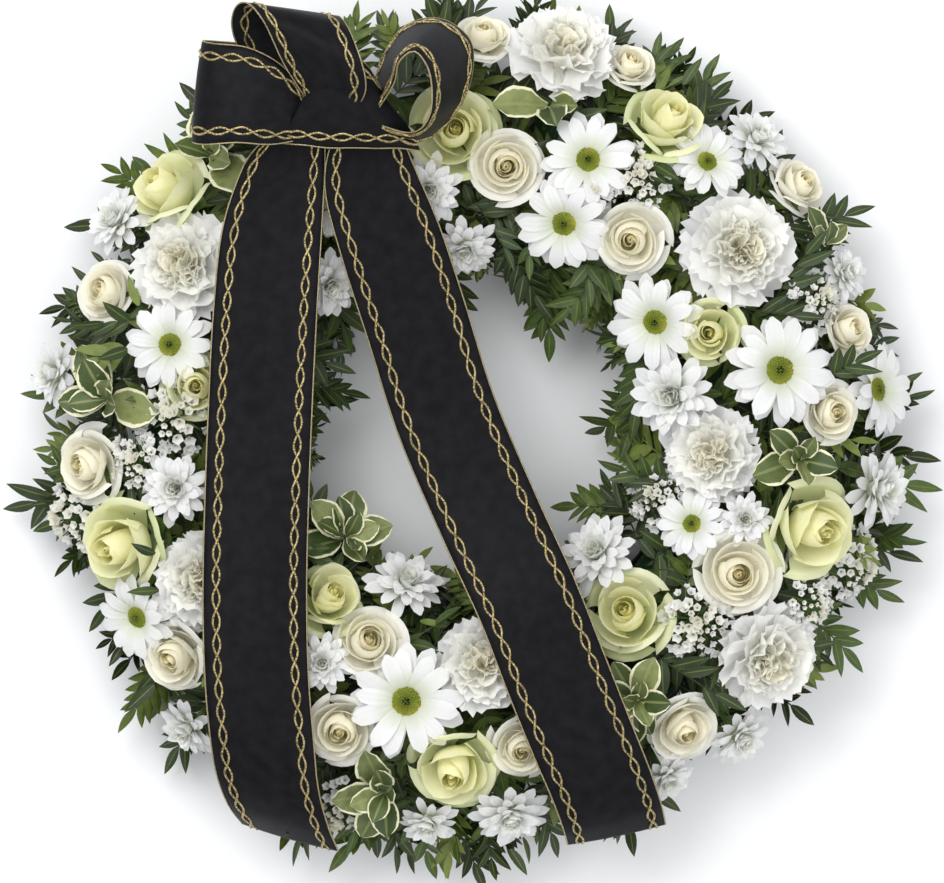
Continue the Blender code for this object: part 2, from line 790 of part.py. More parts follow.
def stations_of(rows):
    """Stations from rows of mm: x, y, z of the middle, then x, y, z of the half width."""
    full = RIBBON_WIDTH / 2
    found = []
    for row in rows:
        middle = Vector(row[:3]) * MM
        half = Vector(row[3:]) * MM
        gathered = 1 - min(1.0, half.length / full)
        thick = RIBBON_THICKNESS / 2 + gathered * (GATHER_THICKNESS - RIBBON_THICKNESS) / 2
        found.append((middle, half, thick))
    return found


# The bow's three loops and the two tails, each from the knot
LOOP_TOP = [
    (-86, 179, 134, 8, 0, 0), (-93, 200, 131, 24, 3, 0), (-98, 224, 129, 30, 5, 0),
    (-101, 243, 134, 30.5, 5, 0), (-102, 251, 147, 30.5, 5, 0), (-101, 245, 161, 30.5, 5, 0),
    (-98, 226, 169, 30, 4, 0), (-92, 203, 161, 24, 3, 0), (-86, 183, 140, 8, 0, 0),
]
LOOP_LEFT = [
    (-92, 177, 131, 0, 7, 0), (-112, 189, 124, 4, 22, 0), (-134, 198, 120, 4, 27, 0),
    (-154, 199, 122, 3, 29, 0), (-163, 198, 132, 3, 30, 0), (-155, 196, 143, 3, 30, 0),
    (-134, 195, 148, 4, 28, 0), (-112, 188, 146, 4, 22, 0), (-92, 178, 137, 0, 7, 0),
]
LOOP_RIGHT = [
    (-58, 178, 132, 0, 0, 7), (-39, 173, 138, -1, -3, 15), (-23, 173, 143, 2, -8, 23),
    (-11, 184, 146, 8, -6, 27), (-7, 203, 147, 10, 0, 28), (-12, 222, 147, 8, 6, 28),
    (-28, 233, 147, 0, 8, 28), (-44, 224, 146, -8, 6, 26), (-54, 203, 143, -8, 1, 20),
    (-60, 184, 137, -3, 1, 8),
]
TAIL_LEFT = [
    (-97, 178, 131, 0, 7, 0), (-108, 168, 128, 13, 9, 0), (-113, 150, 122.5, 26, 6, 0),
    (-118, 115, 119.5, 30, 2, 0), (-122, 65, 118.5, 31, 1, 0), (-125, 5, 117.5, 31, 0, 0),
    (-127, -50, 118.5, 31, 0, 0), (-128, -100, 119, 31, 0, 0), (-127, -148, 118.5, 31, -1, 0),
    (-124, -186, 114, 31, -2, -1), (-121, -213, 104, 30.5, -4, 4), (-115, -234, 88, 30, -6, 6),
    (-108, -248, 68, 29, -8, 6),
]
TAIL_RIGHT = [
    (-52, 174, 130, 7, 2, 0), (-56, 162, 126, 18, 5, 0), (-59, 144, 121.5, 28, 8, 0),
    (-47, 108, 117.5, 29, 10, 0), (-32, 62, 110, 29, 11, 0), (-14, 5, 106, 28.5, 12, 0),
    (12, -56, 109, 28, 13, 0), (34, -104, 117, 28, 13, 0), (52, -150, 119, 29, 11, 0),
    (68, -190, 117, 29.5, 9, 0), (78, -214, 108, 29.5, 8, -3), (85, -234, 92, 29.5, 7, -4),
    (88, -246, 74, 29.5, 6, -4),
]


def ribbon():
    """The bow and its two tails, one ribbon gathered at the knot, and the wire that ties it on."""
    knot = [
        Vector((KNOT_ENDS[0], KNOT.y + MM, KNOT.z)),
        Vector((KNOT.x - 5 * MM, KNOT.y, KNOT.z)),
        Vector((KNOT.x + 5 * MM, KNOT.y, KNOT.z)),
        Vector((KNOT_ENDS[1], KNOT.y - MM, KNOT.z)),
    ]
    swell = [1.25, 1.0, 1.0, 1.25]
    along = Vector((1, 0, 0))
    rings = [around(p, along, KNOT_RADIUS * w, 8) for p, w in zip(knot, swell)]
    pieces = [skin("ribbon_bow", rings, "ribbon")]
    for name, rows in (
        ("loop_top", LOOP_TOP), ("loop_left", LOOP_LEFT), ("loop_right", LOOP_RIGHT),
        ("tail_left", TAIL_LEFT), ("tail_right", TAIL_RIGHT),
    ):
        pieces.append(band(name, stations_of(rows)))
    joined("ribbon_bow", pieces)


def knot_foot():
    angle = math.degrees(math.atan2(KNOT.y, KNOT.x))
    return foot_of(KNOT, angle)


def bow_wire():
    """The wire round the knot, and its leg down into the foam."""
    radius = KNOT_RADIUS + WIRE_HALF + 2 * CLEARANCE
    count = 12
    points = []
    for k in range(count):
        turn = math.tau * (k + 0.5) / count
        spoke = Vector((0, math.cos(turn), math.sin(turn)))
        centre = KNOT + spoke * radius
        side = Vector((WIRE_HALF, 0, 0))
        points.append([centre + side, centre + spoke * WIRE_HALF, centre - side, centre - spoke * WIRE_HALF])
    mesh = bpy.data.meshes.new("loop")
    flat = [p for ring in points for p in ring]
    faces = []
    for k in range(count):
        here, there = 4 * k, 4 * ((k + 1) % count)
        for c in range(4):
            d = (c + 1) % 4
            faces.append((here + c, here + d, there + d, there + c))
    mesh.from_pydata(flat, [], faces)
    loop = bpy.data.objects.new("loop", mesh)
    loop.data.materials.append(finish("wire"))
    bpy.context.scene.collection.objects.link(loop)
    foot = knot_foot()
    top = KNOT + (foot - KNOT).normalized() * radius
    leg = skin("leg", tube_rings([foot, top], WIRE_HALF * 1.3), "wire")
    joined("bow_wire", [loop, leg])
    return foot, top, WIRE_HALF * 1.3


def turned(name, profile, material):
    """A ring turned round the Z axis from a closed profile of (radius, height)."""
    points, faces = [], []
    n = len(profile)
    for k in range(RING_SEGMENTS):
        outward, _ = compass(360 * (k + 0.5) / RING_SEGMENTS)
        points += [outward * r + Vector((0, 0, z)) for r, z in profile]
    for k in range(RING_SEGMENTS):
        here, there = k * n, (k + 1) % RING_SEGMENTS * n
        for p in range(n):
            q = (p + 1) % n
            faces.append((here + p, there + p, there + q, here + q))
    mesh = bpy.data.meshes.new(name)
    mesh.from_pydata(points, [], faces)
    mesh.shade_smooth()
    mesh.set_sharp_from_angle(angle=math.radians(30))
    obj = bpy.data.objects.new(name, mesh)
    obj.data.materials.append(finish(material))
    bpy.context.scene.collection.objects.link(obj)
    return obj


def tray():
    """The moulded tray under the foam: a flat floor and two low walls that lean out a little."""
    inner, outer = RING_R - FOAM_HALF_WIDTH, RING_R + FOAM_HALF_WIDTH
    gap = CLEARANCE
    return turned("base_tray", [
        (inner - gap - TRAY_WALL, 0),
        (outer + gap + TRAY_WALL, 0),
        (outer + gap + TRAY_WALL, TRAY_HEIGHT),
        (outer + gap, TRAY_HEIGHT),
        (outer + gap, TRAY_WALL),
        (inner - gap, TRAY_WALL),
        (inner - gap, TRAY_HEIGHT),
        (inner - gap - TRAY_WALL, TRAY_HEIGHT),
    ], "tray")


def foam(feet):
    inner, outer = RING_R - FOAM_HALF_WIDTH, RING_R + FOAM_HALF_WIDTH
    bottom = TRAY_WALL + CLEARANCE
    block = turned("foam_ring", [
        (inner, bottom),
        (outer, bottom),
        (outer, FOAM_TOP - FOAM_CHAMFER),
        (outer - FOAM_CHAMFER, FOAM_TOP),
        (inner + FOAM_CHAMFER, FOAM_TOP),
        (inner, FOAM_TOP - FOAM_CHAMFER),
    ], "foam")
    return boolean(block, foam_holes(feet), "DIFFERENCE")


def centred():
    """Moves everything so that the middle of the underside of its box is the origin."""
    corners = [v.co for obj in bpy.data.objects for v in obj.data.vertices]
    middle = Vector((
        (min(c.x for c in corners) + max(c.x for c in corners)) / 2,
        (min(c.y for c in corners) + max(c.y for c in corners)) / 2,
        min(c.z for c in corners),
    ))
    for obj in bpy.data.objects:
        for vertex in obj.data.vertices:
            vertex.co -= middle


def main():
    clear_scene()
    all_sites = {name: [Site(*head) for head in heads] for name, heads in STEMMED.items()}
    for name, (_, _, _, rosettes, _) in GREENS.items():
        all_sites[name] = [Site("rosette", *place) for place in rosettes]
    crowd = [site for sites in all_sites.values() for site in sites]
    draw = random.Random(7)
    ways = Ways()
    ways.lay([(knot_foot(), KNOT)])
    plans = single_stems(all_sites, ways)
    feet = [greens_node(name, all_sites[name], ways, crowd, draw) for name in GREENS]
    plans.update(forked_stems(all_sites, ways))
    for name in STEMMED:
        fork, foot = plans[name]
        stemmed_node(name, all_sites[name], fork, foot, crowd, draw)
        feet.append((foot, fork or all_sites[name][0].neck(), STEM_HALF))
    ribbon()
    feet.append(bow_wire())
    tray()
    foam(feet)
    centred()


main()
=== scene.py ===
"""Looks of the funeral wreath: fine petals, leaves, satin ribbon and moulded tray in place of the plain
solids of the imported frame.

Lengths are in millimetres times MM. A bloom's place is its angle round the ring, in degrees, and its
offset from the middle of the foam, as in the part's own source.
"""

import json
import math
import random

import bmesh
import bpy
import numpy as np
from mathutils import Matrix, Vector

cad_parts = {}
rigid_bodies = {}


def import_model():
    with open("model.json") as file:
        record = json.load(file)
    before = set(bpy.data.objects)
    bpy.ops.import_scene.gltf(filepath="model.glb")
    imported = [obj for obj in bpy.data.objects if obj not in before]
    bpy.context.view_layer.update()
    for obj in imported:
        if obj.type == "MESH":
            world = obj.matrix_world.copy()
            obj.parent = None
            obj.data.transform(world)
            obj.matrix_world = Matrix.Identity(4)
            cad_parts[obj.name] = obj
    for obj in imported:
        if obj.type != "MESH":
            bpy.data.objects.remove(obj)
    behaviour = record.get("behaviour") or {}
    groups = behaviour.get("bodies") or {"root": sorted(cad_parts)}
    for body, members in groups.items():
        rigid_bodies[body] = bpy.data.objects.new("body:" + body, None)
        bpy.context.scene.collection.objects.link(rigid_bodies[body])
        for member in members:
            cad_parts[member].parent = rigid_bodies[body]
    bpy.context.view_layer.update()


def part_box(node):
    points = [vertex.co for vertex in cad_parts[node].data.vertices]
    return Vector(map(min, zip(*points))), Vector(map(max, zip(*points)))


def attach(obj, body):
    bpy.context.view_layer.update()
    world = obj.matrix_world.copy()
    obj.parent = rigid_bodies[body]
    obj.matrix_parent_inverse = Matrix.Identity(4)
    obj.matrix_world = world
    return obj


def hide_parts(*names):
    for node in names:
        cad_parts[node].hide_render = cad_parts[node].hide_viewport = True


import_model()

MM = 0.001
UP = Vector((0, 0, 1))
GOLDEN_ANGLE = math.pi * (3 - math.sqrt(5))

# The ring: its centre on the floor and the foam's underside, read off the frame, and its size
TRAY_LOW, TRAY_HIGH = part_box("base_tray")
FOAM_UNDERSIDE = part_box("foam_ring")[0].z
RING_CENTRE = Vector(((TRAY_LOW.x + TRAY_HIGH.x) / 2, (TRAY_LOW.y + TRAY_HIGH.y) / 2, TRAY_LOW.z))
RING_R = 165 * MM
FOAM_HALF_WIDTH = 35 * MM
FOAM_TOP = 58 * MM
TUBE_Z = 28 * MM
DOME_HALF_WIDTH = 88 * MM
DOME_HEIGHT = 70 * MM
# Nothing under the ribbon stands higher than this
BLOOM_CEILING = 115 * MM
# How far a head turns from the dome's own normal towards straight up
UPTURN = {"rose": 0.0, "rosette": 0.45}
USUAL_UPTURN = 0.25
# A head's true radius, as a share of what the photograph shows of it
FULLNESS = 1.16
# A stem starts this far from the foam's core and ends at the neck, a share of the head's radius behind it
STEM_START = 18 * MM
STEM_RADIUS = 1.6 * MM
ROSETTE_STEM_RADIUS = 1.5 * MM
NECK = -0.3
# Leaves are cleared from a bloom over this share of its radius, and between these shares over its middle
CLEAR_RADIUS, CLEAR_FROM, CLEAR_TO = 0.88, -0.3, 3
SEED = 11

# Each node with stems: its heads, as (kind, angle, offset, radius)
STEMMED = {
    "rose_1": [("rose", 142, 63, 22)],
    "rose_2": [("rose", 93, 10, 23)],
    "rose_3": [("rose", 57, 50, 21)],
    "rose_4": [("rose", 21, -11, 18)],
    "rose_5": [("rose", 172, 0, 18)],
    "rose_6": [("rose", 199, 53, 25)],
    "rose_7": [("rose", 231, -32, 19)],
    "rose_8": [("rose", 343, 46, 26)],
    "rose_9": [("rose", 310, -18, 22)],
    "rose_10": [("rose", 267, 38, 23)],
    "carnation_1": [("carnation", 33, 27, 30)],
    "carnation_2": [("carnation", 151, 30, 28)],
    "carnation_3": [("carnation", 353, -19, 25)],
    "carnation_4": [("carnation", 322, 60, 28)],
    "carnation_5": [("carnation", 76, 64, 29)],
    "carnation_6": [("carnation", 273, -22, 25)],
    "carnation_7": [("carnation", 210, 20, 25)],
    "spray_rose_1": [("spray_rose", 82, -9, 19), ("spray_rose", 49, -18, 19)],
    "spray_rose_2": [("spray_rose", 88, 67, 15), ("spray_rose", 66, 70, 14)],
    "spray_rose_3": [("spray_rose", 36, 78, 16)],
    "spray_rose_4": [("spray_rose", 14, 68, 15), ("spray_rose", 2, 50, 16)],
    "spray_rose_5": [("spray_rose", 160, 66, 17)],
    "spray_rose_6": [("spray_rose", 186, 64, 19)],
    "spray_rose_7": [("spray_rose", 218, 58, 19)],
    "spray_rose_8": [("spray_rose", 245, -22, 19), ("spray_rose", 247, 32, 18)],
    "spray_rose_9": [("spray_rose", 331, 17, 21)],
    "spray_rose_10": [("spray_rose", 305, 56, 18)],
    "spray_rose_11": [("spray_rose", 279, 30, 16), ("spray_rose", 286, -4, 17)],
    "chrysanthemum_1": [("daisy", 66, 8, 24), ("daisy", 65, -32, 24)],
    "chrysanthemum_2": [("daisy", 48, 46, 20), ("double", 45, 74, 20)],
    "chrysanthemum_3": [
        ("daisy", 10, 22, 28), ("daisy", 5, 79, 24), ("double", 22, 74, 17), ("double", 351, 79, 24),
    ],
    "chrysanthemum_4": [("daisy", 29, -38, 25), ("double", 8, -40, 26)],
    "chrysanthemum_5": [("daisy", 336, -20, 18), ("double", 341, 8, 15), ("double", 315, -54, 23)],
    "chrysanthemum_6": [("double", 311, 79, 19), ("double", 299, 74, 17)],
    "chrysanthemum_7": [("double", 276, 66, 22), ("double", 264, 72, 17), ("daisy", 288, 65, 20)],
    "chrysanthemum_8": [("double", 100, -22, 19), ("double", 92, -57, 19), ("daisy", 119, -14, 20)],
    "chrysanthemum_9": [("double", 135, -45, 19), ("daisy", 137, 4, 22), ("daisy", 154, -32, 21)],
    "chrysanthemum_10": [("daisy", 165, 20, 23), ("double", 173, 82, 20), ("double", 150, 76, 21)],
    "chrysanthemum_11": [("daisy", 210, 64, 22), ("double", 227, 80, 19), ("daisy", 235, 54, 20)],
    "chrysanthemum_12": [("double", 248, -60, 22), ("double", 238, 2, 17), ("daisy", 257, 4, 29)],
    "chrysanthemum_13": [("double", 192, 14, 20), ("double", 194, -40, 22)],
    "statice_1": [("statice", 56, 14, 14), ("statice", 20, 56, 13), ("statice", 62, -6, 10)],
    "statice_2": [("statice", 339, -46, 13), ("statice", 319, 14, 15)],
    "statice_3": [("statice", 340, 80, 16), ("statice", 332, 66, 12)],
    "statice_4": [("statice", 193, 80, 16), ("statice", 178, 12, 17), ("statice", 186, 34, 13)],
    "statice_5": [("statice", 251, 78, 16)],
}

# Each node of greens: its side of the foam, the angles it spans, its pittosporum rosettes as
# (angle, offset, radius), and how far its fringe reaches from the ring's centre
GREENS = {
    "greens_outer_1": ("outer", 5, 95, [(27, 73, 18), (76, 31, 26)], 258),
    "greens_outer_2": ("outer", 95, 185, [(134, 58, 25), (176, 52, 24)], 260),
    "greens_outer_3": ("outer", 185, 275, [(257, 60, 22)], 268),
    "greens_outer_4": ("outer", 275, 365, [(301, 27, 18), (354, 32, 19)], 268),
    "greens_inner_1": ("inner", 10, 70, [], 92),
    "greens_inner_2": ("inner", 70, 130, [], 92),
    "greens_inner_3": ("inner", 130, 190, [], 93),
    "greens_inner_4": ("inner", 190, 250, [(222, -64, 20)], 94),
    "greens_inner_5": ("inner", 250, 310, [], 94),
    "greens_inner_6": ("inner", 310, 370, [], 94),
}

# The sprigs that stand out furthest, as (angle, reach from the ring's centre)
LONG_SPRIGS = {
    "greens_outer_1": [(13, 264), (42, 262), (71, 270), (58, 266)],
    "greens_outer_2": [(104, 256), (121, 260), (152, 270), (178, 268)],
    "greens_outer_3": [(192, 286), (207, 264), (222, 266), (252, 268), (267, 275)],
    "greens_outer_4": [(283, 266), (297, 268), (341, 268), (354.5, 284)],
}

# Ribbon. A station of a band is its middle (x, y, z), then its half width as a vector, in mm.
RIBBON_WIDTH = 62 * MM
RIBBON_THICKNESS = 0.5 * MM
BRAID_INSET = 8 * MM
BANDS = {
    "ribbon_loop_top": [
        (-86, 179, 134, 10, 0, 0), (-98, 202, 131, 24, 1, 0), (-107, 224, 130, 30, 1, 0),
        (-111, 238, 135, 30.5, 0, 0), (-108, 246, 147, 30.5, -3, 1), (-101, 242, 161, 30, -8, 2),
        (-93, 226, 168, 29, -12, 2), (-86, 204, 159, 24, -8, 2), (-82, 184, 142, 11, -2, 0),
    ],
    "ribbon_loop_left": [
        (-92, 177, 131, 0, 7, 0), (-112, 189, 124, 4, 22, 0), (-134, 198, 120, 4, 27, 0),
        (-154, 199, 122, 3, 29, 0), (-163, 198, 132, 3, 30, 0), (-155, 196, 143, 3, 30, 0),
        (-134, 195, 148, 4, 28, 0), (-112, 188, 146, 4, 22, 0), (-92, 178, 137, 0, 7, 0),
    ],
    "ribbon_loop_right": [
        (-60, 179, 135, 0, 0, 8), (-40, 170, 138, 0, 2, 15), (-25, 172.5, 141, -4, 1, 22),
        (-14, 185.5, 143.5, -8.5, -2, 25), (-9.5, 204, 145, -12, -5.5, 26),
        (-12, 221, 145.5, -12.5, -9, 25.5), (-25.5, 232, 146, -7.5, -10.5, 25),
        (-41.5, 226, 144.5, -1.5, -11.5, 23.5), (-50.5, 208, 142, 4.5, -6, 19), (-58, 186, 138, 1, -1, 9),
    ],
    "ribbon_knot_fold": [
        (-101, 189, 147, 12, 22, 5), (-91, 190, 152, 8, 25, 7), (-80, 190, 154, 4.5, 27, 8),
        (-68, 190, 154, 0, 27, 8), (-57, 188, 151, -4, 25, 7), (-47, 185, 146, -8, 21, 4),
        (-39, 180, 140, -12, 16, 2),
    ],
    "ribbon_tail_left": [
        (-98, 180, 131, 14, 3, 0), (-107, 168, 128, 21, 5, 0), (-112, 150, 122.5, 26, 4, 0),
        (-118, 115, 119.5, 30, 2, 0), (-122, 65, 118.5, 31, 1, 0), (-125, 5, 117.5, 31, 0, 0),
        (-127, -50, 118.5, 31, 0, 0), (-128, -100, 119, 31, 0, 0), (-127, -148, 118.5, 31, -1, 0),
        (-124, -186, 114, 31, -2, -1), (-121, -213, 104, 30.5, -4, 4), (-115, -234, 88, 30, -6, 6),
        (-108, -248, 68, 29, -8, 6),
    ],
    "ribbon_tail_right": [
        (-60, 178, 130, 16, 2, 0), (-62, 166, 127, 22, 4, 0), (-59, 144, 121.5, 27, 7, 0),
        (-47, 108, 117.5, 29, 10, 0), (-32, 62, 110, 29, 11, 0), (-14, 5, 106, 28.5, 12, 0),
        (12, -56, 109, 28, 13, 0), (34, -104, 117, 28, 13, 0), (52, -150, 119, 29, 11, 0),
        (68, -190, 117, 29.5, 9, 0), (78, -214, 108, 29.5, 8, -3), (85, -234, 92, 29.5, 7, -4),
        (88, -246, 74, 29.5, 6, -4),
    ],
}
KNOT = Vector((-72, 177, 133)) * MM
KNOT_RADIUS = 8.5 * MM
# The band round the knot, once round the axis along X
KNOT_BAND_RADIUS = 9
BANDS["ribbon_knot"] = [
    (-72.5, 177 + KNOT_BAND_RADIUS * math.sin(math.radians(turn)),
     133 - KNOT_BAND_RADIUS * math.cos(math.radians(turn)), 30, 0, 0)
    for turn in range(0, 361, 30)
]
# How far a band's edges stand off its middle, in mm
BOW = {"ribbon_knot_fold": 3.5, "ribbon_knot": 0}
USUAL_BOW = 1.2
# The braid stands this far off each face of the cloth
BRAID_RISE = 0.45 * MM
BRAID = {
    "Radius": 0.8 * MM, "Sides": 5, "Step": 1.5 * MM, "Width": 4.2 * MM, "Pitch": 13.6 * MM,
    "Weave": 0.3 * MM,
}
EDGE_INSET = 0.2 * MM
EDGE_WIRE = {
    "Radius": 0.5 * MM, "Sides": 6, "Step": 3 * MM, "Width": 0.0, "Pitch": 10 * MM, "Weave": 0.0, "Rise": 0.0,
}


def linear(hex_colour):
    """An sRGB hex colour as linear values with an alpha of 1."""
    channels = [int(hex_colour[k:k + 2], 16) / 255 for k in (1, 3, 5)]
    return (*[c / 12.92 if c <= 0.04045 else ((c + 0.055) / 1.055) ** 2.4 for c in channels], 1)


def node(tree, kind, inputs=None, out=0, **settings):
    """Adds a node with its settings. An input, given by name or number, is a value or the socket that
    feeds it. Returns the node's output of that number."""
    made = tree.nodes.new(kind)
    for name, value in settings.items():
        setattr(made, name, value)
    for name, value in (inputs or {}).items():
        if isinstance(value, bpy.types.NodeSocket):
            tree.links.new(value, made.inputs[name])
        else:
            made.inputs[name].default_value = value
    return made.outputs[out] if made.outputs else made


# Materials

def ramp(tree, factor, stops):
    """Colours of a ramp, as (place, hex colour) stops, at this factor."""
    socket = node(tree, "ShaderNodeValToRGB", {0: factor})
    band = socket.node.color_ramp
    for place, colour in stops[2:]:
        band.elements.new(place)
    for element, (place, colour) in zip(band.elements, sorted(stops)):
        element.position = place
        element.color = linear(colour)
    return socket


def new_material(name, roughness, **sockets):
    """A material with a Principled shader, whose constant sockets are given by name."""
    material = bpy.data.materials.new(name)
    material.use_nodes = True
    shader = material.node_tree.nodes["Principled BSDF"]
    shader.inputs["Roughness"].default_value = roughness
    for label, value in sockets.items():
        shader.inputs[label.replace("_", " ")].default_value = value
    return material, material.node_tree, shader


# Share of the light on a petal that comes out on its other side
THROUGH_PETAL = 0.32
# Side veins along a leaf, times two pi
SIDE_VEINS = 60.0


def petal_material(name, stops, base, speck_mm, roughness=0.6, vein=26.0, crease=0.3):
    """Soft petal tissue, matt, with some light coming through it. It takes the stops from the heart of the
    flower to its outermost petals, and has fine veins. Towards each petal's foot it goes to the base colour,
    partly the petal's own colour there and partly painted shade where the petals crowd together."""
    material, tree, shader = new_material(name, roughness, Sheen_Weight=0.1, Specular_IOR_Level=0.3)
    age = node(tree, "ShaderNodeAttribute", attribute_name="age", out=2)
    tint = node(tree, "ShaderNodeAttribute", attribute_name="tint", out=2)
    place = node(tree, "ShaderNodeTexCoord", out=3)
    across = node(tree, "ShaderNodeUVMap", uv_map="petal")
    parts = tree.nodes.new("ShaderNodeSeparateXYZ")
    tree.links.new(across, parts.inputs[0])
    mottle = node(tree, "ShaderNodeTexNoise", {"Vector": place, "Scale": 1 / (speck_mm * MM), "Detail": 3.0})
    aged = node(tree, "ShaderNodeMath", {0: mottle, 1: 0.3, 2: age}, operation="MULTIPLY_ADD")
    shifted = node(tree, "ShaderNodeMath", {0: aged, 1: 0.15}, operation="SUBTRACT", use_clamp=True)
    body = ramp(tree, shifted, stops)
    # Painted shade: towards each petal's foot the colour goes to the base colour, partly its own and partly
    # shade painted in
    foot_tint_and_shade = node(
        tree, "ShaderNodeMapRange",
        {"Value": parts.outputs[1], "From Min": 0.0, "From Max": 0.55, "To Min": 0.85, "To Max": 0.0})
    shaded = node(tree, "ShaderNodeMix", {0: foot_tint_and_shade, 6: body, 7: linear(base)}, out=2, data_type="RGBA")
    varied = node(tree, "ShaderNodeMapRange", {"Value": tint, "To Min": 0.93, "To Max": 1.0})
    toned = node(
        tree, "ShaderNodeMix", {0: 1.0, 6: shaded, 7: varied}, out=2, data_type="RGBA", blend_type="MULTIPLY")
    tree.links.new(toned, shader.inputs["Base Color"])
    lines = node(tree, "ShaderNodeMath", {0: parts.outputs[0], 1: vein}, operation="MULTIPLY")
    waves = node(tree, "ShaderNodeMath", {0: lines}, operation="SINE")
    relief = node(tree, "ShaderNodeMath", {0: waves, 1: 0.35, 2: mottle}, operation="MULTIPLY_ADD")
    bump = node(tree, "ShaderNodeBump", {"Height": relief, "Strength": crease, "Distance": 0.3 * MM})
    tree.links.new(bump, shader.inputs["Normal"])
    through = node(tree, "ShaderNodeBsdfTranslucent", {"Color": toned})
    thin = node(tree, "ShaderNodeMixShader", {0: THROUGH_PETAL, 1: shader.outputs[0], 2: through})
    tree.links.new(thin, tree.nodes["Material Output"].inputs["Surface"])
    return material


def leaf_material(name, stops, midrib, roughness, margin=None):
    """A leaf's waxy skin. Each leaf has its own green from the stops, a paler midrib with side veins, and
    a margin of its own colour where one is given."""
    material, tree, shader = new_material(name, roughness, Specular_IOR_Level=0.36, Coat_Weight=0.07)
    shader.inputs["Coat Roughness"].default_value = 0.35
    tint = node(tree, "ShaderNodeAttribute", attribute_name="tint", out=2)
    place = node(tree, "ShaderNodeTexCoord", out=3)
    across = node(tree, "ShaderNodeUVMap", uv_map="petal")
    parts = tree.nodes.new("ShaderNodeSeparateXYZ")
    tree.links.new(across, parts.inputs[0])
    mottle = node(tree, "ShaderNodeTexNoise", {"Vector": place, "Scale": 1 / (6 * MM), "Detail": 3.0})
    mixed = node(tree, "ShaderNodeMath", {0: mottle, 1: 0.5, 2: tint}, operation="MULTIPLY_ADD")
    body = ramp(tree, node(tree, "ShaderNodeMath", {0: mixed, 1: 0.25}, operation="SUBTRACT"), stops)
    aside = node(tree, "ShaderNodeMath", {0: parts.outputs[0], 1: 0.5}, operation="SUBTRACT")
    off = node(tree, "ShaderNodeMath", {0: aside}, operation="ABSOLUTE")
    rib = node(
        tree, "ShaderNodeMapRange",
        {"Value": off, "From Min": 0.02, "From Max": 0.07, "To Min": 0.7, "To Max": 0.0})
    veined = node(tree, "ShaderNodeMix", {0: rib, 6: body, 7: linear(midrib)}, out=2, data_type="RGBA")
    if margin:
        edge = node(tree, "ShaderNodeMath", {0: mottle, 1: 0.14, 2: off}, operation="MULTIPLY_ADD")
        outer = node(
            tree, "ShaderNodeMapRange",
            {"Value": edge, "From Min": 0.47, "From Max": 0.5, "To Min": 0.0, "To Max": 1.0})
        veined = node(
            tree, "ShaderNodeMix", {0: outer, 6: veined, 7: linear(margin)}, out=2, data_type="RGBA")
    tree.links.new(veined, shader.inputs["Base Color"])
    slant = node(tree, "ShaderNodeMath", {0: off, 1: 1.2, 2: parts.outputs[1]}, operation="MULTIPLY_ADD")
    lines = node(tree, "ShaderNodeMath", {0: slant, 1: SIDE_VEINS}, operation="MULTIPLY")
    ribs = node(tree, "ShaderNodeMath", {0: lines}, operation="SINE")
    bump = node(tree, "ShaderNodeBump", {"Height": ribs, "Strength": 0.25, "Distance": 0.3 * MM})
    tree.links.new(bump, shader.inputs["Normal"])
    return material


def grainy_material(name, stops, grain_mm, roughness, depth_mm, metallic=0.0):
    """A solid with a fine grain: its colours run through the stops, and its surface is as rough as the
    grain is deep."""
    material, tree, shader = new_material(name, roughness, Metallic=metallic)
    place = node(tree, "ShaderNodeTexCoord", out=3)
    grain = node(tree, "ShaderNodeTexNoise", {"Vector": place, "Scale": 1 / (grain_mm * MM), "Detail": 4.0})
    tree.links.new(ramp(tree, grain, stops), shader.inputs["Base Color"])
    bump = node(tree, "ShaderNodeBump", {"Height": grain, "Strength": 0.6, "Distance": depth_mm * MM})
    tree.links.new(bump, shader.inputs["Normal"])
    return material


def satin_material():
    """Polyester satin ribbon, woven and dyed near black: long floats give a soft sheen along the ribbon,
    and a fine twill line. The thread is 0.2 mm, drawn at 1.1 mm so that it shows."""
    material, tree, shader = new_material(
        "black polyester satin", 0.48, Sheen_Weight=0.02, Specular_IOR_Level=0.065, Anisotropic=0.4)
    shader.inputs["Sheen Roughness"].default_value = 0.4
    shader.inputs["Sheen Tint"].default_value = linear("#A9B4CC")
    cloth = node(tree, "ShaderNodeUVMap", uv_map="cloth")
    slub = node(tree, "ShaderNodeTexNoise", {"Vector": cloth, "Scale": 1 / (9 * MM), "Detail": 2.0})
    tree.links.new(ramp(tree, slub, [(0.3, "#111113"), (0.7, "#1A1A1D")]), shader.inputs["Base Color"])
    twill = node(
        tree, "ShaderNodeTexWave", {"Vector": cloth, "Scale": 1 / (1.1 * MM) / 6.3, "Distortion": 0.6},
        out=1, bands_direction="DIAGONAL")
    bump = node(tree, "ShaderNodeBump", {"Height": twill, "Strength": 0.07, "Distance": 0.1 * MM})
    tree.links.new(bump, shader.inputs["Normal"])
    return material


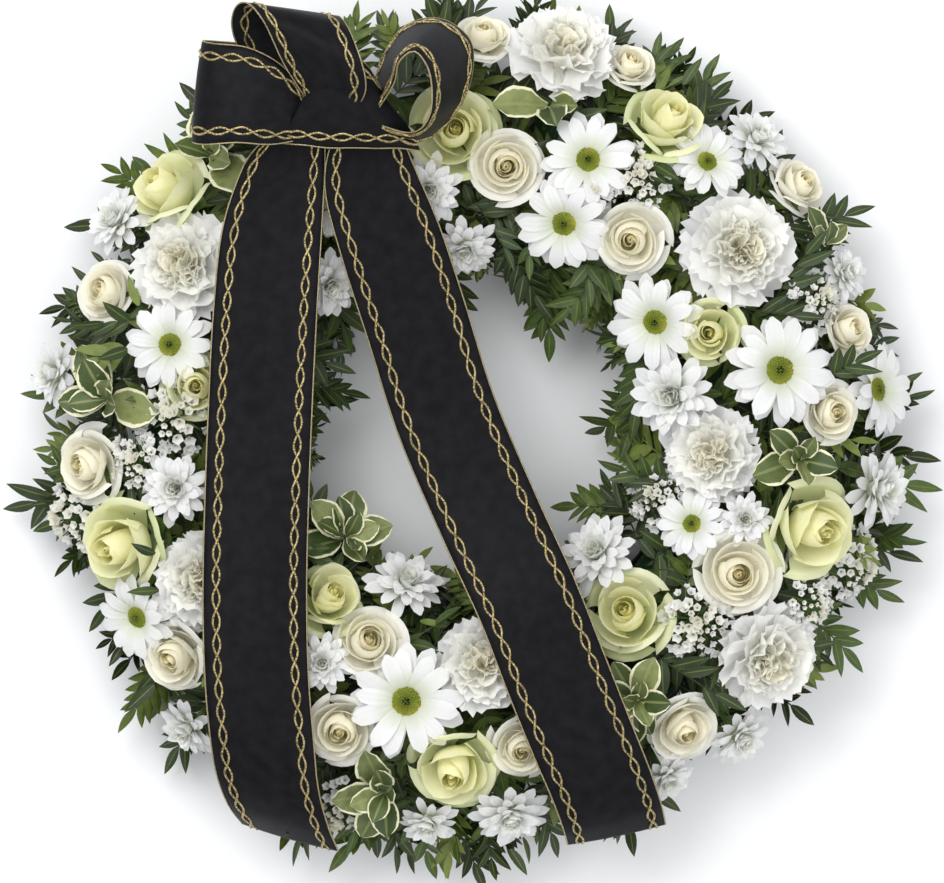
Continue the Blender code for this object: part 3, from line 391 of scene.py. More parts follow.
FINISH = {
    # Rose petal, pale green cream: thick and velvety, greener outside and yellower in the heart
    "rose": petal_material(
        "pale green rose petal", [(0.0, "#FCF7BC"), (1.0, "#E6EDB4"), (0.35, "#FCFACE"), (0.7, "#F7F8D2")],
        "#E4ECAC", 9, 0.55),
    # Spray rose petal, ivory: softer, with a warm heart
    "spray_rose": petal_material(
        "ivory spray rose petal", [(0.0, "#FEF6CE"), (1.0, "#FDFCF6"), (0.4, "#FEFAE6"), (0.75, "#FEFCF2")],
        "#FCF8DE", 7, 0.55),
    # Carnation petal, white: thin, dry and crimped, with a creamy heart
    "carnation": petal_material(
        "white carnation petal", [(0.0, "#FFFCEA"), (1.0, "#FAFAFA"), (0.4, "#FFFEF6"), (0.75, "#FCFCFA")],
        "#FEFCF0", 6, 0.7, vein=40.0),
    # Chrysanthemum ray, pure white: smooth, with two shallow grooves, and a faint green at its foot that is
    # partly painted shade
    "ray": petal_material(
        "white chrysanthemum ray", [(0.0, "#F5F6EA"), (1.0, "#F6F6F6"), (0.4, "#F5F6F3"), (0.75, "#F6F6F6")],
        "#DDE5C4", 8, 0.55, vein=19.0, crease=0.5),
    # Disc florets of a daisy chrysanthemum: olive outside, yellow green in the middle
    "disc": petal_material(
        "olive disc floret", [(0.0, "#748420"), (1.0, "#BDB84A"), (0.5, "#929E2E"), (0.75, "#A6AA3A")],
        "#66781C", 2, 0.6),
    # Statice calyx: papery and dry, white, greyer down in each cup, its own colour there deepened with
    # painted shade
    "statice": petal_material(
        "white statice calyx", [(0.0, "#E6E3D2"), (1.0, "#F9F9F6"), (0.5, "#F8F7F1"), (0.7, "#FAFAF8")],
        "#B5B294", 2, 0.85),
    # Lentisk leaflets: leathery and dark, with the odd younger one
    "lentisk": leaf_material(
        "dark lentisk leaflet", [(0.0, "#1D2811"), (1.0, "#707F38"), (0.45, "#2D3E19"), (0.75, "#435722")],
        "#72813C", 0.42),
    # Variegated pittosporum: sage green, waxy, with a wavy cream margin
    "pittosporum": leaf_material(
        "variegated pittosporum leaf",
        [(0.0, "#3C4D25"), (1.0, "#868E57"), (0.5, "#505F31"), (0.8, "#687343")],
        "#8D945E", 0.4, margin="#E6E4C0"),
    # Stem and sepal: living green tissue, smooth and matt
    "stem": grainy_material("fresh green stem", [(0.3, "#40592A"), (0.7, "#5F7D3B")], 3, 0.55, 0.2),
    # Floral foam: open celled, wet, dark green and quite matt
    "foam": grainy_material("wet floral foam", [(0.3, "#1E3A22"), (0.7, "#33573A")], 0.9, 0.95, 0.5),
    # Tray: moulded polypropylene, dark green, with a fine spark-eroded grain
    "tray": grainy_material("moulded polypropylene", [(0.35, "#1B2A1E"), (0.65, "#223527")], 1.2, 0.48, 0.08),
    # Binding wire: lacquered steel, with a dull green gleam
    "wire": grainy_material("green lacquered wire", [(0.3, "#28472C"), (0.7, "#365E39")], 4, 0.35, 0.05, 0.6),
    # Ribbon: dyed polyester satin, near black with a soft sheen
    "satin": satin_material(),
    # Braid: metallised polyester thread, muted gold, spun so that it glitters unevenly
    "braid": grainy_material(
        "gold metallised thread", [(0.38, "#51472D"), (0.62, "#CDBB86")], 1.0, 0.4, 0.5, 0.7),
    # Edge wire under a champagne thread, wound close, so a thin bright line
    "edge": grainy_material(
        "champagne edge thread", [(0.3, "#B9A87C"), (0.7, "#E2D5AC")], 0.8, 0.38, 0.15, 0.6),
}


# Geometry Nodes trees

def new_tree(name, inputs):
    """An empty tree with these named inputs, and the sockets that give them, by name."""
    tree = bpy.data.node_groups.new(name, "GeometryNodeTree")
    tree.interface.new_socket(name="Geometry", in_out="OUTPUT", socket_type="NodeSocketGeometry")
    for label, kind in inputs.items():
        tree.interface.new_socket(name=label, in_out="INPUT", socket_type="NodeSocket" + kind)
    given = tree.nodes.new("NodeGroupInput").outputs
    return tree, {label: given[label] for label in inputs}


def end_tree(tree, geometry, finish):
    """Realises the copies and gives them their material."""
    real = node(tree, "GeometryNodeRealizeInstances", {"Geometry": geometry})
    done = node(tree, "GeometryNodeSetMaterial", {"Geometry": real, "Material": finish})
    node(tree, "NodeGroupOutput", {"Geometry": done})
    return tree


def whorl_tree():
    """Petals set round an axis, the first innermost. Each is turned on by the same angle, and goes from
    the inner place, tilt and size to the outer ones."""
    tree, given = new_tree("whorl of petals", {
        "Petal": "Object", "Count": "Int", "Turn": "Float", "Ease": "Float",
        "Inner Ring": "Float", "Outer Ring": "Float", "Inner Lift": "Float", "Outer Lift": "Float",
        "Inner Tilt": "Float", "Outer Tilt": "Float", "Inner Size": "Vector", "Outer Size": "Vector",
        "Inner Age": "Float", "Outer Age": "Float", "Wobble": "Float", "Uneven": "Float",
        "Seed": "Int", "Finish": "Material",
    })
    index = node(tree, "GeometryNodeInputIndex")
    last = node(tree, "ShaderNodeMath", {0: given["Count"], 1: 1.0}, operation="SUBTRACT")
    most = node(tree, "ShaderNodeMath", {0: last, 1: 1.0}, operation="MAXIMUM")
    share = node(tree, "ShaderNodeMath", {0: index, 1: most}, operation="DIVIDE")
    eased = node(tree, "ShaderNodeMath", {0: share, 1: given["Ease"]}, operation="POWER")

    def between(name):
        return node(tree, "ShaderNodeMix", {0: eased, 2: given["Inner " + name], 3: given["Outer " + name]})

    def wander(amount, number):
        less = node(tree, "ShaderNodeMath", {0: amount, 1: -1.0}, operation="MULTIPLY")
        seed = node(tree, "ShaderNodeMath", {0: given["Seed"], 1: number}, operation="ADD")
        return node(tree, "FunctionNodeRandomValue", {2: less, 3: amount, "Seed": seed}, out=1)

    turned = node(
        tree, "ShaderNodeMath", {0: index, 1: given["Turn"], 2: wander(given["Wobble"], 1.0)},
        operation="MULTIPLY_ADD")
    tilted = node(
        tree, "ShaderNodeMath", {0: between("Tilt"), 1: wander(given["Wobble"], 2.0)}, operation="ADD")
    arm = node(tree, "ShaderNodeCombineXYZ", {"Y": between("Ring"), "Z": between("Lift")})
    place = node(tree, "ShaderNodeVectorRotate", {"Vector": arm, "Angle": turned}, rotation_type="Z_AXIS")
    way = node(tree, "ShaderNodeCombineXYZ", {"X": tilted, "Y": wander(given["Wobble"], 3.0), "Z": turned})
    size = node(
        tree, "ShaderNodeMix", {0: eased, 4: given["Inner Size"], 5: given["Outer Size"]}, out=1,
        data_type="VECTOR")
    swell = node(tree, "ShaderNodeMath", {0: wander(given["Uneven"], 4.0), 1: 1.0}, operation="ADD")
    scaled = node(tree, "ShaderNodeVectorMath", {0: size, "Scale": swell}, operation="SCALE")
    points = node(tree, "GeometryNodePoints", {"Count": given["Count"], "Position": place})
    aged = node(
        tree, "GeometryNodeStoreNamedAttribute", {"Geometry": points, "Name": "age", "Value": between("Age")})
    own = node(tree, "FunctionNodeRandomValue", {"Seed": given["Seed"]}, out=1)
    tinted = node(
        tree, "GeometryNodeStoreNamedAttribute", {"Geometry": aged, "Name": "tint", "Value": own})
    petal = node(tree, "GeometryNodeObjectInfo", {"Object": given["Petal"]}, out=4)
    placed = node(tree, "GeometryNodeInstanceOnPoints", {
        "Points": tinted, "Instance": petal, "Rotation": way, "Scale": scaled})
    return end_tree(tree, placed, given["Finish"])


def sprig_tree():
    """A pinnate sprig along +Y: a rib with pairs of leaflets that shrink towards its tip, one more leaflet
    at the tip, and a bend over its whole length."""
    tree, given = new_tree("pinnate sprig", {
        "Leaflet": "Object", "Pairs": "Int", "Length": "Float", "Leaf Length": "Float", "Tip Share": "Float",
        "Slant": "Float", "Twist": "Float", "Sag": "Float", "Sweep": "Float", "Rib": "Float",
        "Seed": "Int", "Finish": "Material",
    })
    index = node(tree, "GeometryNodeInputIndex")
    half = node(tree, "ShaderNodeMath", {0: index, 1: 0.5}, operation="MULTIPLY")
    pair = node(tree, "ShaderNodeMath", {0: half}, operation="FLOOR")
    share = node(tree, "ShaderNodeMath", {0: pair, 1: given["Pairs"]}, operation="DIVIDE")
    left = node(tree, "ShaderNodeMath", {0: half, 1: pair}, operation="SUBTRACT")
    side = node(tree, "ShaderNodeMath", {0: left, 1: 4.0, 2: -1.0}, operation="MULTIPLY_ADD")
    before_tip = node(tree, "ShaderNodeMath", {0: share, 1: 0.999}, operation="LESS_THAN")
    jitter = node(tree, "FunctionNodeRandomValue", {2: 0.82, 3: 1.15, "Seed": given["Seed"]}, out=1)
    closing = node(tree, "ShaderNodeMath", {0: share, 1: -0.45, 2: 1.0}, operation="MULTIPLY_ADD")
    slant = node(tree, "ShaderNodeMath", {0: given["Slant"], 1: closing}, operation="MULTIPLY")
    swung = node(tree, "ShaderNodeMath", {0: slant, 1: jitter}, operation="MULTIPLY")
    sided = node(tree, "ShaderNodeMath", {0: swung, 1: side}, operation="MULTIPLY")
    yaw = node(tree, "ShaderNodeMath", {0: sided, 1: before_tip}, operation="MULTIPLY")
    raised = node(tree, "FunctionNodeRandomValue", {2: -0.25, 3: 0.3, "Seed": given["Seed"]}, out=1)
    rolled = node(tree, "ShaderNodeMath", {0: side, 1: given["Twist"]}, operation="MULTIPLY")
    way = node(tree, "ShaderNodeCombineXYZ", {"X": raised, "Y": rolled, "Z": yaw})
    start = node(tree, "ShaderNodeMath", {0: share, 1: 0.72, 2: 0.14}, operation="MULTIPLY_ADD")
    along = node(tree, "ShaderNodeMath", {0: start, 1: given["Length"]}, operation="MULTIPLY")
    taper = node(tree, "ShaderNodeMix", {0: share, 2: 1.0, 3: given["Tip Share"]})
    grown_to = node(tree, "ShaderNodeMath", {0: taper, 1: given["Leaf Length"]}, operation="MULTIPLY")
    size = node(tree, "ShaderNodeMath", {0: grown_to, 1: jitter}, operation="MULTIPLY")
    doubled = node(tree, "ShaderNodeMath", {0: given["Pairs"], 1: 2.0, 2: 1.0}, operation="MULTIPLY_ADD")
    points = node(tree, "GeometryNodePoints", {
        "Count": doubled, "Position": node(tree, "ShaderNodeCombineXYZ", {"Y": along})})
    leaf = node(tree, "GeometryNodeObjectInfo", {"Object": given["Leaflet"]}, out=4)
    leaves = node(tree, "GeometryNodeInstanceOnPoints", {
        "Points": points, "Instance": leaf, "Rotation": way, "Scale": size})
    tip = node(tree, "ShaderNodeMath", {0: given["Length"], 1: 0.87}, operation="MULTIPLY")
    line = node(tree, "GeometryNodeCurvePrimitiveLine", {
        "End": node(tree, "ShaderNodeCombineXYZ", {"Y": tip})})
    fine = node(tree, "GeometryNodeResampleCurve", {"Curve": line, "Count": 7})
    round_rib = node(tree, "GeometryNodeCurvePrimitiveCircle", {"Resolution": 4, "Radius": given["Rib"]})
    rib = node(tree, "GeometryNodeCurveToMesh", {"Curve": fine, "Profile Curve": round_rib})
    whole = tree.nodes.new("GeometryNodeJoinGeometry")
    tree.links.new(rib, whole.inputs[0])
    tree.links.new(node(tree, "GeometryNodeRealizeInstances", {"Geometry": leaves}), whole.inputs[0])
    parts = tree.nodes.new("ShaderNodeSeparateXYZ")
    tree.links.new(node(tree, "GeometryNodeInputPosition"), parts.inputs[0])
    way_up = node(tree, "ShaderNodeMath", {0: parts.outputs[1], 1: given["Length"]}, operation="DIVIDE")
    square = node(tree, "ShaderNodeMath", {0: way_up, 1: way_up}, operation="MULTIPLY")
    bent = node(tree, "ShaderNodeCombineXYZ", {
        "X": node(tree, "ShaderNodeMath", {0: square, 1: given["Sweep"]}, operation="MULTIPLY"),
        "Z": node(tree, "ShaderNodeMath", {0: square, 1: given["Sag"]}, operation="MULTIPLY")})
    shaped = node(tree, "GeometryNodeSetPosition", {"Geometry": whole.outputs[0], "Offset": bent})
    return end_tree(tree, shaped, given["Finish"])


def foliage_tree():
    """Sprigs scattered over a guide surface. They grow away from the ring's axis, or towards it where Way
    is -1, fanned out to both sides and raised from the surface."""
    tree, given = new_tree("foliage on a surface", {
        "Guide": "Geometry", "Sprigs": "Collection", "Density": "Float", "Way": "Float", "Fan": "Float",
        "Least Rise": "Float", "Most Rise": "Float", "Least Size": "Float", "Most Size": "Float",
        "Roll": "Float", "Seed": "Int", "Finish": "Material",
    })
    scatter = tree.nodes.new("GeometryNodeDistributePointsOnFaces")
    tree.links.new(given["Guide"], scatter.inputs["Mesh"])
    tree.links.new(given["Density"], scatter.inputs["Density"])
    tree.links.new(given["Seed"], scatter.inputs["Seed"])
    position = node(tree, "GeometryNodeInputPosition")
    flat = node(tree, "ShaderNodeVectorMath", {0: position, 1: (1.0, 1.0, 0.0)}, operation="MULTIPLY")
    away = node(tree, "ShaderNodeVectorMath", {0: flat}, operation="NORMALIZE")
    led = node(tree, "ShaderNodeVectorMath", {0: away, "Scale": given["Way"]}, operation="SCALE")
    held = node(tree, "FunctionNodeAlignRotationToVector", {"Vector": scatter.outputs[1]}, axis="Z")
    aimed = node(
        tree, "FunctionNodeAlignRotationToVector", {"Rotation": held, "Vector": led},
        axis="Y", pivot_axis="Z")
    less = node(tree, "ShaderNodeMath", {0: given["Fan"], 1: -1.0}, operation="MULTIPLY")
    unrolled = node(tree, "ShaderNodeMath", {0: given["Roll"], 1: -1.0}, operation="MULTIPLY")
    seeds = [
        node(tree, "ShaderNodeMath", {0: given["Seed"], 1: float(number)}, operation="ADD")
        for number in range(1, 6)
    ]
    yaw = node(tree, "FunctionNodeRandomValue", {2: less, 3: given["Fan"], "Seed": seeds[0]}, out=1)
    rise = node(
        tree, "FunctionNodeRandomValue",
        {2: given["Least Rise"], 3: given["Most Rise"], "Seed": seeds[1]}, out=1)
    roll = node(tree, "FunctionNodeRandomValue", {2: unrolled, 3: given["Roll"], "Seed": seeds[2]}, out=1)
    size = node(
        tree, "FunctionNodeRandomValue",
        {2: given["Least Size"], 3: given["Most Size"], "Seed": seeds[3]}, out=1)
    fanned = node(
        tree, "FunctionNodeRotateRotation",
        {"Rotation": aimed, "Rotate By": node(tree, "ShaderNodeCombineXYZ", {"Z": yaw})},
        rotation_space="LOCAL")
    lifted = node(
        tree, "FunctionNodeRotateRotation",
        {"Rotation": fanned, "Rotate By": node(tree, "ShaderNodeCombineXYZ", {"X": rise, "Y": roll})},
        rotation_space="LOCAL")
    tinted = node(tree, "GeometryNodeStoreNamedAttribute", {
        "Geometry": scatter.outputs[0], "Name": "tint",
        "Value": node(tree, "FunctionNodeRandomValue", {"Seed": seeds[4]}, out=1)})
    kinds = node(tree, "GeometryNodeCollectionInfo", {
        "Collection": given["Sprigs"], "Separate Children": True, "Reset Children": True})
    placed = node(tree, "GeometryNodeInstanceOnPoints", {
        "Points": tinted, "Instance": kinds, "Pick Instance": True, "Rotation": lifted, "Scale": size})
    return end_tree(tree, placed, given["Finish"])


def strand_tree():
    """A round strand along each line of a guide mesh. With a Width it swings from side to side along
    the guide's own "across" once in every two Pitch lengths, with a twin on the other side."""
    tree, given = new_tree("strand along a line", {
        "Guide": "Geometry", "Radius": "Float", "Sides": "Int", "Step": "Float",
        "Width": "Float", "Pitch": "Float", "Weave": "Float", "Rise": "Float", "Finish": "Material",
    })
    line = node(tree, "GeometryNodeMeshToCurve", {"Mesh": given["Guide"]})
    fine = node(tree, "GeometryNodeResampleCurve", {"Curve": line, "Length": given["Step"]}, mode="LENGTH")
    length = node(tree, "GeometryNodeSplineParameter", out=1)
    turns = node(tree, "ShaderNodeMath", {0: length, 1: given["Pitch"]}, operation="DIVIDE")
    angle = node(tree, "ShaderNodeMath", {0: turns, 1: math.pi}, operation="MULTIPLY")
    swing = node(tree, "ShaderNodeMath", {0: angle}, operation="SINE")
    over_under = node(tree, "ShaderNodeMath", {0: angle}, operation="COSINE")
    weave = node(tree, "ShaderNodeMath", {0: over_under, 1: given["Weave"]}, operation="MULTIPLY")
    across = node(tree, "GeometryNodeInputNamedAttribute", {"Name": "across"}, data_type="FLOAT_VECTOR")
    lift = node(tree, "GeometryNodeInputNamedAttribute", {"Name": "lift"}, data_type="FLOAT_VECTOR")
    profile = node(tree, "GeometryNodeCurvePrimitiveCircle", {
        "Resolution": given["Sides"], "Radius": given["Radius"]})
    whole = tree.nodes.new("GeometryNodeJoinGeometry")
    for way in (1.0, -1.0):
        wide = node(tree, "ShaderNodeMath", {0: given["Width"], 1: way * 0.5}, operation="MULTIPLY")
        reach = node(tree, "ShaderNodeMath", {0: swing, 1: wide}, operation="MULTIPLY")
        aside = node(tree, "ShaderNodeVectorMath", {0: across, "Scale": reach}, operation="SCALE")
        over = node(tree, "ShaderNodeMath", {0: weave, 1: way, 2: given["Rise"]}, operation="MULTIPLY_ADD")
        above = node(tree, "ShaderNodeVectorMath", {0: lift, "Scale": over}, operation="SCALE")
        offset = node(tree, "ShaderNodeVectorMath", {0: aside, 1: above}, operation="ADD")
        moved = node(tree, "GeometryNodeSetPosition", {"Geometry": fine, "Offset": offset})
        rod = node(tree, "GeometryNodeCurveToMesh", {
            "Curve": moved, "Profile Curve": profile, "Fill Caps": True})
        tree.links.new(rod, whole.inputs[0])
    return end_tree(tree, whole.outputs[0], given["Finish"])


def tube_tree():
    """A round tube along each line of a guide mesh."""
    tree, given = new_tree("tube along a line", {
        "Guide": "Geometry", "Radius": "Float", "Sides": "Int", "Finish": "Material",
    })
    line = node(tree, "GeometryNodeMeshToCurve", {"Mesh": given["Guide"]})
    profile = node(tree, "GeometryNodeCurvePrimitiveCircle", {
        "Resolution": given["Sides"], "Radius": given["Radius"]})
    rod = node(tree, "GeometryNodeCurveToMesh", {"Curve": line, "Profile Curve": profile, "Fill Caps": True})
    smooth = node(tree, "GeometryNodeSetShadeSmooth", {"Geometry": rod})
    return end_tree(tree, smooth, given["Finish"])


WHORL = whorl_tree()
SPRIG = sprig_tree()
FOLIAGE = foliage_tree()
STRAND = strand_tree()
TUBE = tube_tree()


def grown(tree, settings, guide=None):
    """The plain mesh that a tree makes with these settings, on a guide mesh where it follows one."""
    holder = bpy.data.objects.new("holder", guide or bpy.data.meshes.new("guide"))
    bpy.context.scene.collection.objects.link(holder)
    modifier = holder.modifiers.new("grow", "NODES")
    modifier.node_group = tree
    inputs = {s.name: s.identifier for s in tree.interface.items_tree if s.in_out == "INPUT"}
    for name, value in settings.items():
        modifier[inputs[name]] = value
    graph = bpy.context.evaluated_depsgraph_get()
    mesh = bpy.data.meshes.new_from_object(holder.evaluated_get(graph))
    bpy.data.objects.remove(holder)
    return mesh


# Petals and leaves, each along +Y from its base with its face up, one unit long

def sheet_of(name, columns, rows, place):
    """An object with a sheet of quads. place(u, v) gives the point at u from -1 to 1 across it and v
    from 0 to 1 along it."""
    points = []
    for row in range(rows + 1):
        points += [place(2 * column / columns - 1, row / rows) for column in range(columns + 1)]
    wide = columns + 1
    faces = []
    for row in range(rows):
        for column in range(columns):
            corner = row * wide + column
            faces.append((corner, corner + 1, corner + 1 + wide, corner + wide))
    mesh = bpy.data.meshes.new(name)
    mesh.from_pydata(points, [], faces)
    layer = mesh.uv_layers.new(name="petal")
    for loop in mesh.loops:
        row, column = divmod(loop.vertex_index, wide)
        layer.data[loop.index].uv = (column / columns, row / rows)
    mesh.shade_smooth()
    return bpy.data.objects.new(name, mesh)


def round_end(v, start):
    """1 up to the start, then down a quarter circle to nearly nothing at the end."""
    past = max(0.0, (v - start) / (1 - start))
    return math.sqrt(max(0.02, 1 - past * past))


def ray_petal(u, v):
    """A blunt strap, arched along, hollowed and twice grooved across."""
    half = 0.115 * (0.5 + 0.5 * math.sin(min(1, v / 0.55) * math.pi / 2)) * round_end(v, 0.72)
    groove = 0.014 * math.cos(3 * math.pi * u) * min(1, 3 * v)
    return (half * u, v, 0.1 * math.sin(math.pi * v) + 0.3 * half * u * u + groove)


def strap_petal(u, v):
    """A narrower strap, hollowed like a spoon and curling up at its tip."""
    half = 0.12 * (0.55 + 0.45 * math.sin(min(1, v / 0.6) * math.pi / 2)) * round_end(v, 0.7)
    return (half * u, v, 0.06 * math.sin(math.pi * v) + 0.16 * v * v + 0.5 * half * u * u)


def frilled_petal(phase):
    """A carnation petal: a narrow claw that opens into a crimped fan with a toothed edge."""
    def place(u, v):
        fan = 0.09 + 0.5 * v ** 1.5
        spread = 0.85 * u * v
        tooth = 0.07 * v ** 6 * math.cos(math.pi * 6.5 * u + phase)
        reach = v * (1 - 0.14 * u * u) + tooth
        crimp = 0.13 * v * v * math.sin(5.2 * u + phase) + 0.05 * v ** 3 * math.sin(13 * u + 2 * phase)
        aside = fan * math.sin(spread) / max(0.3, 0.85 * v) if v else 0.09 * u
        return (aside, reach * math.cos(0.5 * spread), crimp + 0.1 * v * v)
    return place


def cup_petal(span, waist, close, lip, roll):
    """A rose petal wrapped round the flower's own axis: it spans an angle to both sides, and swells
    from the waist to about radius 1. Its rim, at height 1, closes inwards or its lip rolls outwards."""
    def place(u, v):
        angle = span * u * (0.55 + 0.45 * v)
        curl = max(0.0, v - 0.68) / 0.32
        radius = waist + (1 - waist) * math.sin(min(1.0, v / 0.8) * math.pi / 2) ** 0.9
        radius += lip * curl * curl - close * v ** 4
        radius *= 1 + 0.05 * u
        height = v * (1 - 0.16 * u * u - 0.1 * abs(u) ** 5) + 0.06 * v * math.exp(-18 * u * u)
        height -= roll * curl * curl
        return (radius * math.sin(angle), radius * math.cos(angle), height)
    return place


def wavy_leaf(u, v):
    """A pittosporum leaf: widest past its middle, folded a little along the rib, with a waved edge."""
    half = 0.32 * math.sin(math.pi * min(1, 0.05 + 0.95 * v) ** 1.35) ** 0.65 if v < 0.999 else 0.03
    wave = 0.035 * u * u * math.sin(17 * v + 2 * u)
    return (half * u, v, 0.1 * abs(u) * half / 0.3 + wave - 0.2 * v * v)


def lance_leaflet(u, v):
    """A lentisk leaflet: a lance with a folded rib that bends back at its tip."""
    half = 0.175 * math.sin(math.pi * (0.04 + 0.96 * v) ** 0.85) ** 0.85 if v < 0.999 else 0.004
    return (half * u, v, 0.3 * abs(u) * half - 0.1 * v * v)


def papery_cup(u, v):
    """A statice calyx: a small pleated funnel, open all round."""
    turn = math.pi * u
    radius = 0.1 + 0.75 * v * v + 0.08 * v * math.cos(5 * turn)
    return (radius * math.sin(turn), radius * math.cos(turn), v * 0.9 + 0.12 * v * math.cos(5 * turn))


def bead(u, v):
    """An upright bead: a disc floret, or the rolled core of a larger head."""
    radius = 0.55 * math.sin(math.pi * (0.08 + 0.86 * v))
    return (radius * math.sin(math.pi * u), radius * math.cos(math.pi * u), v * 1.1)


RAY = sheet_of("ray", 4, 7, ray_petal)
STRAP = sheet_of("strap", 2, 5, strap_petal)
FRILLED = [sheet_of(f"frilled_{k}", 12, 5, frilled_petal(2.1 * k)) for k in range(2)]
OPEN_PETAL = sheet_of("open_petal", 8, 8, cup_petal(0.82, 0.1, 0.0, 0.22, 0.26))
CUP_PETAL = sheet_of("cup_petal", 8, 7, cup_petal(1.1, 0.25, 0.0, 0.1, 0.08))
HEART_PETAL = sheet_of("heart_petal", 10, 5, cup_petal(1.9, 0.6, 0.3, 0.0, 0.0))
WAVY_LEAF = sheet_of("wavy_leaf", 6, 9, wavy_leaf)
LANCE = sheet_of("lance", 2, 6, lance_leaflet)
PAPERY_CUP = sheet_of("papery_cup", 10, 2, papery_cup)
BEAD = sheet_of("bead", 5, 3, bead)


# Heads, each facing +Z with a radius of 1

def whorl(petal, finish, count, ring, lift, tilt, inner, outer, age=(0.0, 1.0), turn=GOLDEN_ANGLE, ease=1.0,
          wobble=0.08, uneven=0.08, seed=0):
    """Petals round +Z. Pairs are (inner, outer). The tilt is in degrees over the level, and a size is
    (width, length, height)."""
    return grown(WHORL, {
        "Petal": petal, "Count": count, "Turn": turn, "Ease": ease,
        "Inner Ring": ring[0], "Outer Ring": ring[1], "Inner Lift": lift[0], "Outer Lift": lift[1],
        "Inner Tilt": math.radians(tilt[0]), "Outer Tilt": math.radians(tilt[1]),
        "Inner Size": inner, "Outer Size": outer, "Inner Age": age[0], "Outer Age": age[1],
        "Wobble": wobble, "Uneven": uneven, "Seed": seed, "Finish": FINISH[finish],
    })


def rose_layers(seed):
    return [
        whorl(BEAD, "rose", 1, (0, 0), (-0.4, -0.4), (0, 0), (0.28, 0.28, 0.92), (0.28, 0.28, 0.92),
              age=(0.0, 0.0), seed=seed),
        whorl(HEART_PETAL, "rose", 9, (0, 0), (-0.5, -0.5), (0, 0), (0.06, 0.06, 1.12), (0.44, 0.44, 1.18),
              age=(0.0, 0.35), wobble=0.05, uneven=0.03, seed=seed),
        whorl(CUP_PETAL, "rose", 6, (0, 0), (-0.56, -0.62), (3, -4), (0.5, 0.5, 1.2), (0.72, 0.72, 1.12),
              age=(0.35, 0.65), wobble=0.07, uneven=0.04, seed=seed + 1),
        whorl(OPEN_PETAL, "rose", 6, (0, 0), (-0.66, -0.72), (-2, -9), (0.74, 0.74, 1.14), (0.86, 0.86, 0.98),
              age=(0.65, 1.0), wobble=0.08, seed=seed + 2),
        whorl(LANCE, "stem", 5, (0.1, 0.1), (-0.72, -0.72), (15, 15), (1.4, 0.62, 1), (1.4, 0.62, 1),
              turn=math.tau / 5, seed=seed),
    ]


def spray_rose_layers(seed):
    return [
        whorl(BEAD, "spray_rose", 1, (0, 0), (-0.3, -0.3), (0, 0), (0.3, 0.3, 0.68), (0.3, 0.3, 0.68),
              age=(0.0, 0.0), seed=seed),
        whorl(HEART_PETAL, "spray_rose", 11, (0, 0), (-0.4, -0.4), (0, 0), (0.05, 0.05, 0.86),
              (0.5, 0.5, 0.9), age=(0.0, 0.45), wobble=0.07, uneven=0.05, seed=seed),
        whorl(CUP_PETAL, "spray_rose", 8, (0, 0), (-0.42, -0.46), (3, -4), (0.54, 0.54, 0.9),
              (0.78, 0.78, 0.8), age=(0.45, 0.7), wobble=0.09, uneven=0.06, seed=seed + 1),
        whorl(OPEN_PETAL, "spray_rose", 7, (0, 0), (-0.46, -0.5), (-2, -10), (0.78, 0.78, 0.8),
              (0.9, 0.9, 0.66), age=(0.7, 1.0), wobble=0.12, seed=seed + 2),
        whorl(LANCE, "stem", 5, (0.1, 0.1), (-0.5, -0.5), (12, 12), (1.4, 0.6, 1), (1.4, 0.6, 1),
              turn=math.tau / 5, seed=seed),
    ]


def carnation_layers(seed):
    return [
        whorl(BEAD, "carnation", 1, (0, 0), (-0.3, -0.3), (0, 0), (0.5, 0.5, 0.36), (0.5, 0.5, 0.36),
              seed=seed),
        whorl(FRILLED[0], "carnation", 22, (0.02, 0.2), (0.0, -0.08), (84, 44), (0.6, 0.48, 0.7),
              (0.8, 0.62, 0.8), age=(0.0, 0.6), wobble=0.3, uneven=0.16, seed=seed),
        whorl(FRILLED[1], "carnation", 22, (0.14, 0.2), (-0.1, -0.24), (46, 3), (0.92, 0.74, 0.7),
              (1.12, 0.88, 0.75), age=(0.5, 1.0), wobble=0.2, uneven=0.1, seed=seed + 1),
        whorl(CUP_PETAL, "stem", 4, (0, 0), (-0.85, -0.85), (0, 0), (0.16, 0.16, 0.6), (0.18, 0.18, 0.6),
              turn=math.tau / 4, wobble=0.0, seed=seed),
    ]


def daisy_layers(seed):
    return [
        whorl(RAY, "ray", 13, (0.2, 0.2), (0.02, 0.02), (14, 14), (1.4, 0.78, 1), (1.4, 0.78, 1),
              age=(0.4, 1.0), turn=math.tau / 13, wobble=0.13, uneven=0.08, seed=seed),
        whorl(RAY, "ray", 13, (0.16, 0.16), (-0.03, -0.03), (3, 3), (1.45, 0.86, 1), (1.45, 0.86, 1),
              age=(0.4, 1.0), turn=math.tau / 13, wobble=0.13, uneven=0.08, seed=seed + 1),
        whorl(BEAD, "disc", 90, (0.0, 0.26), (0.13, 0.02), (0, 0), (0.035, 0.035, 0.05), (0.045, 0.045, 0.06),
              ease=0.5, wobble=0.0, uneven=0.15, seed=seed),
        whorl(CUP_PETAL, "disc", 5, (0, 0), (0.12, 0.12), (0, 0), (0.27, 0.27, -0.1), (0.27, 0.27, -0.1),
              turn=math.tau / 5, wobble=0.0, seed=seed),
        whorl(CUP_PETAL, "stem", 5, (0, 0), (-0.2, -0.2), (0, 0), (0.24, 0.24, 0.18), (0.24, 0.24, 0.18),
              turn=math.tau / 5, wobble=0.0, seed=seed),
    ]


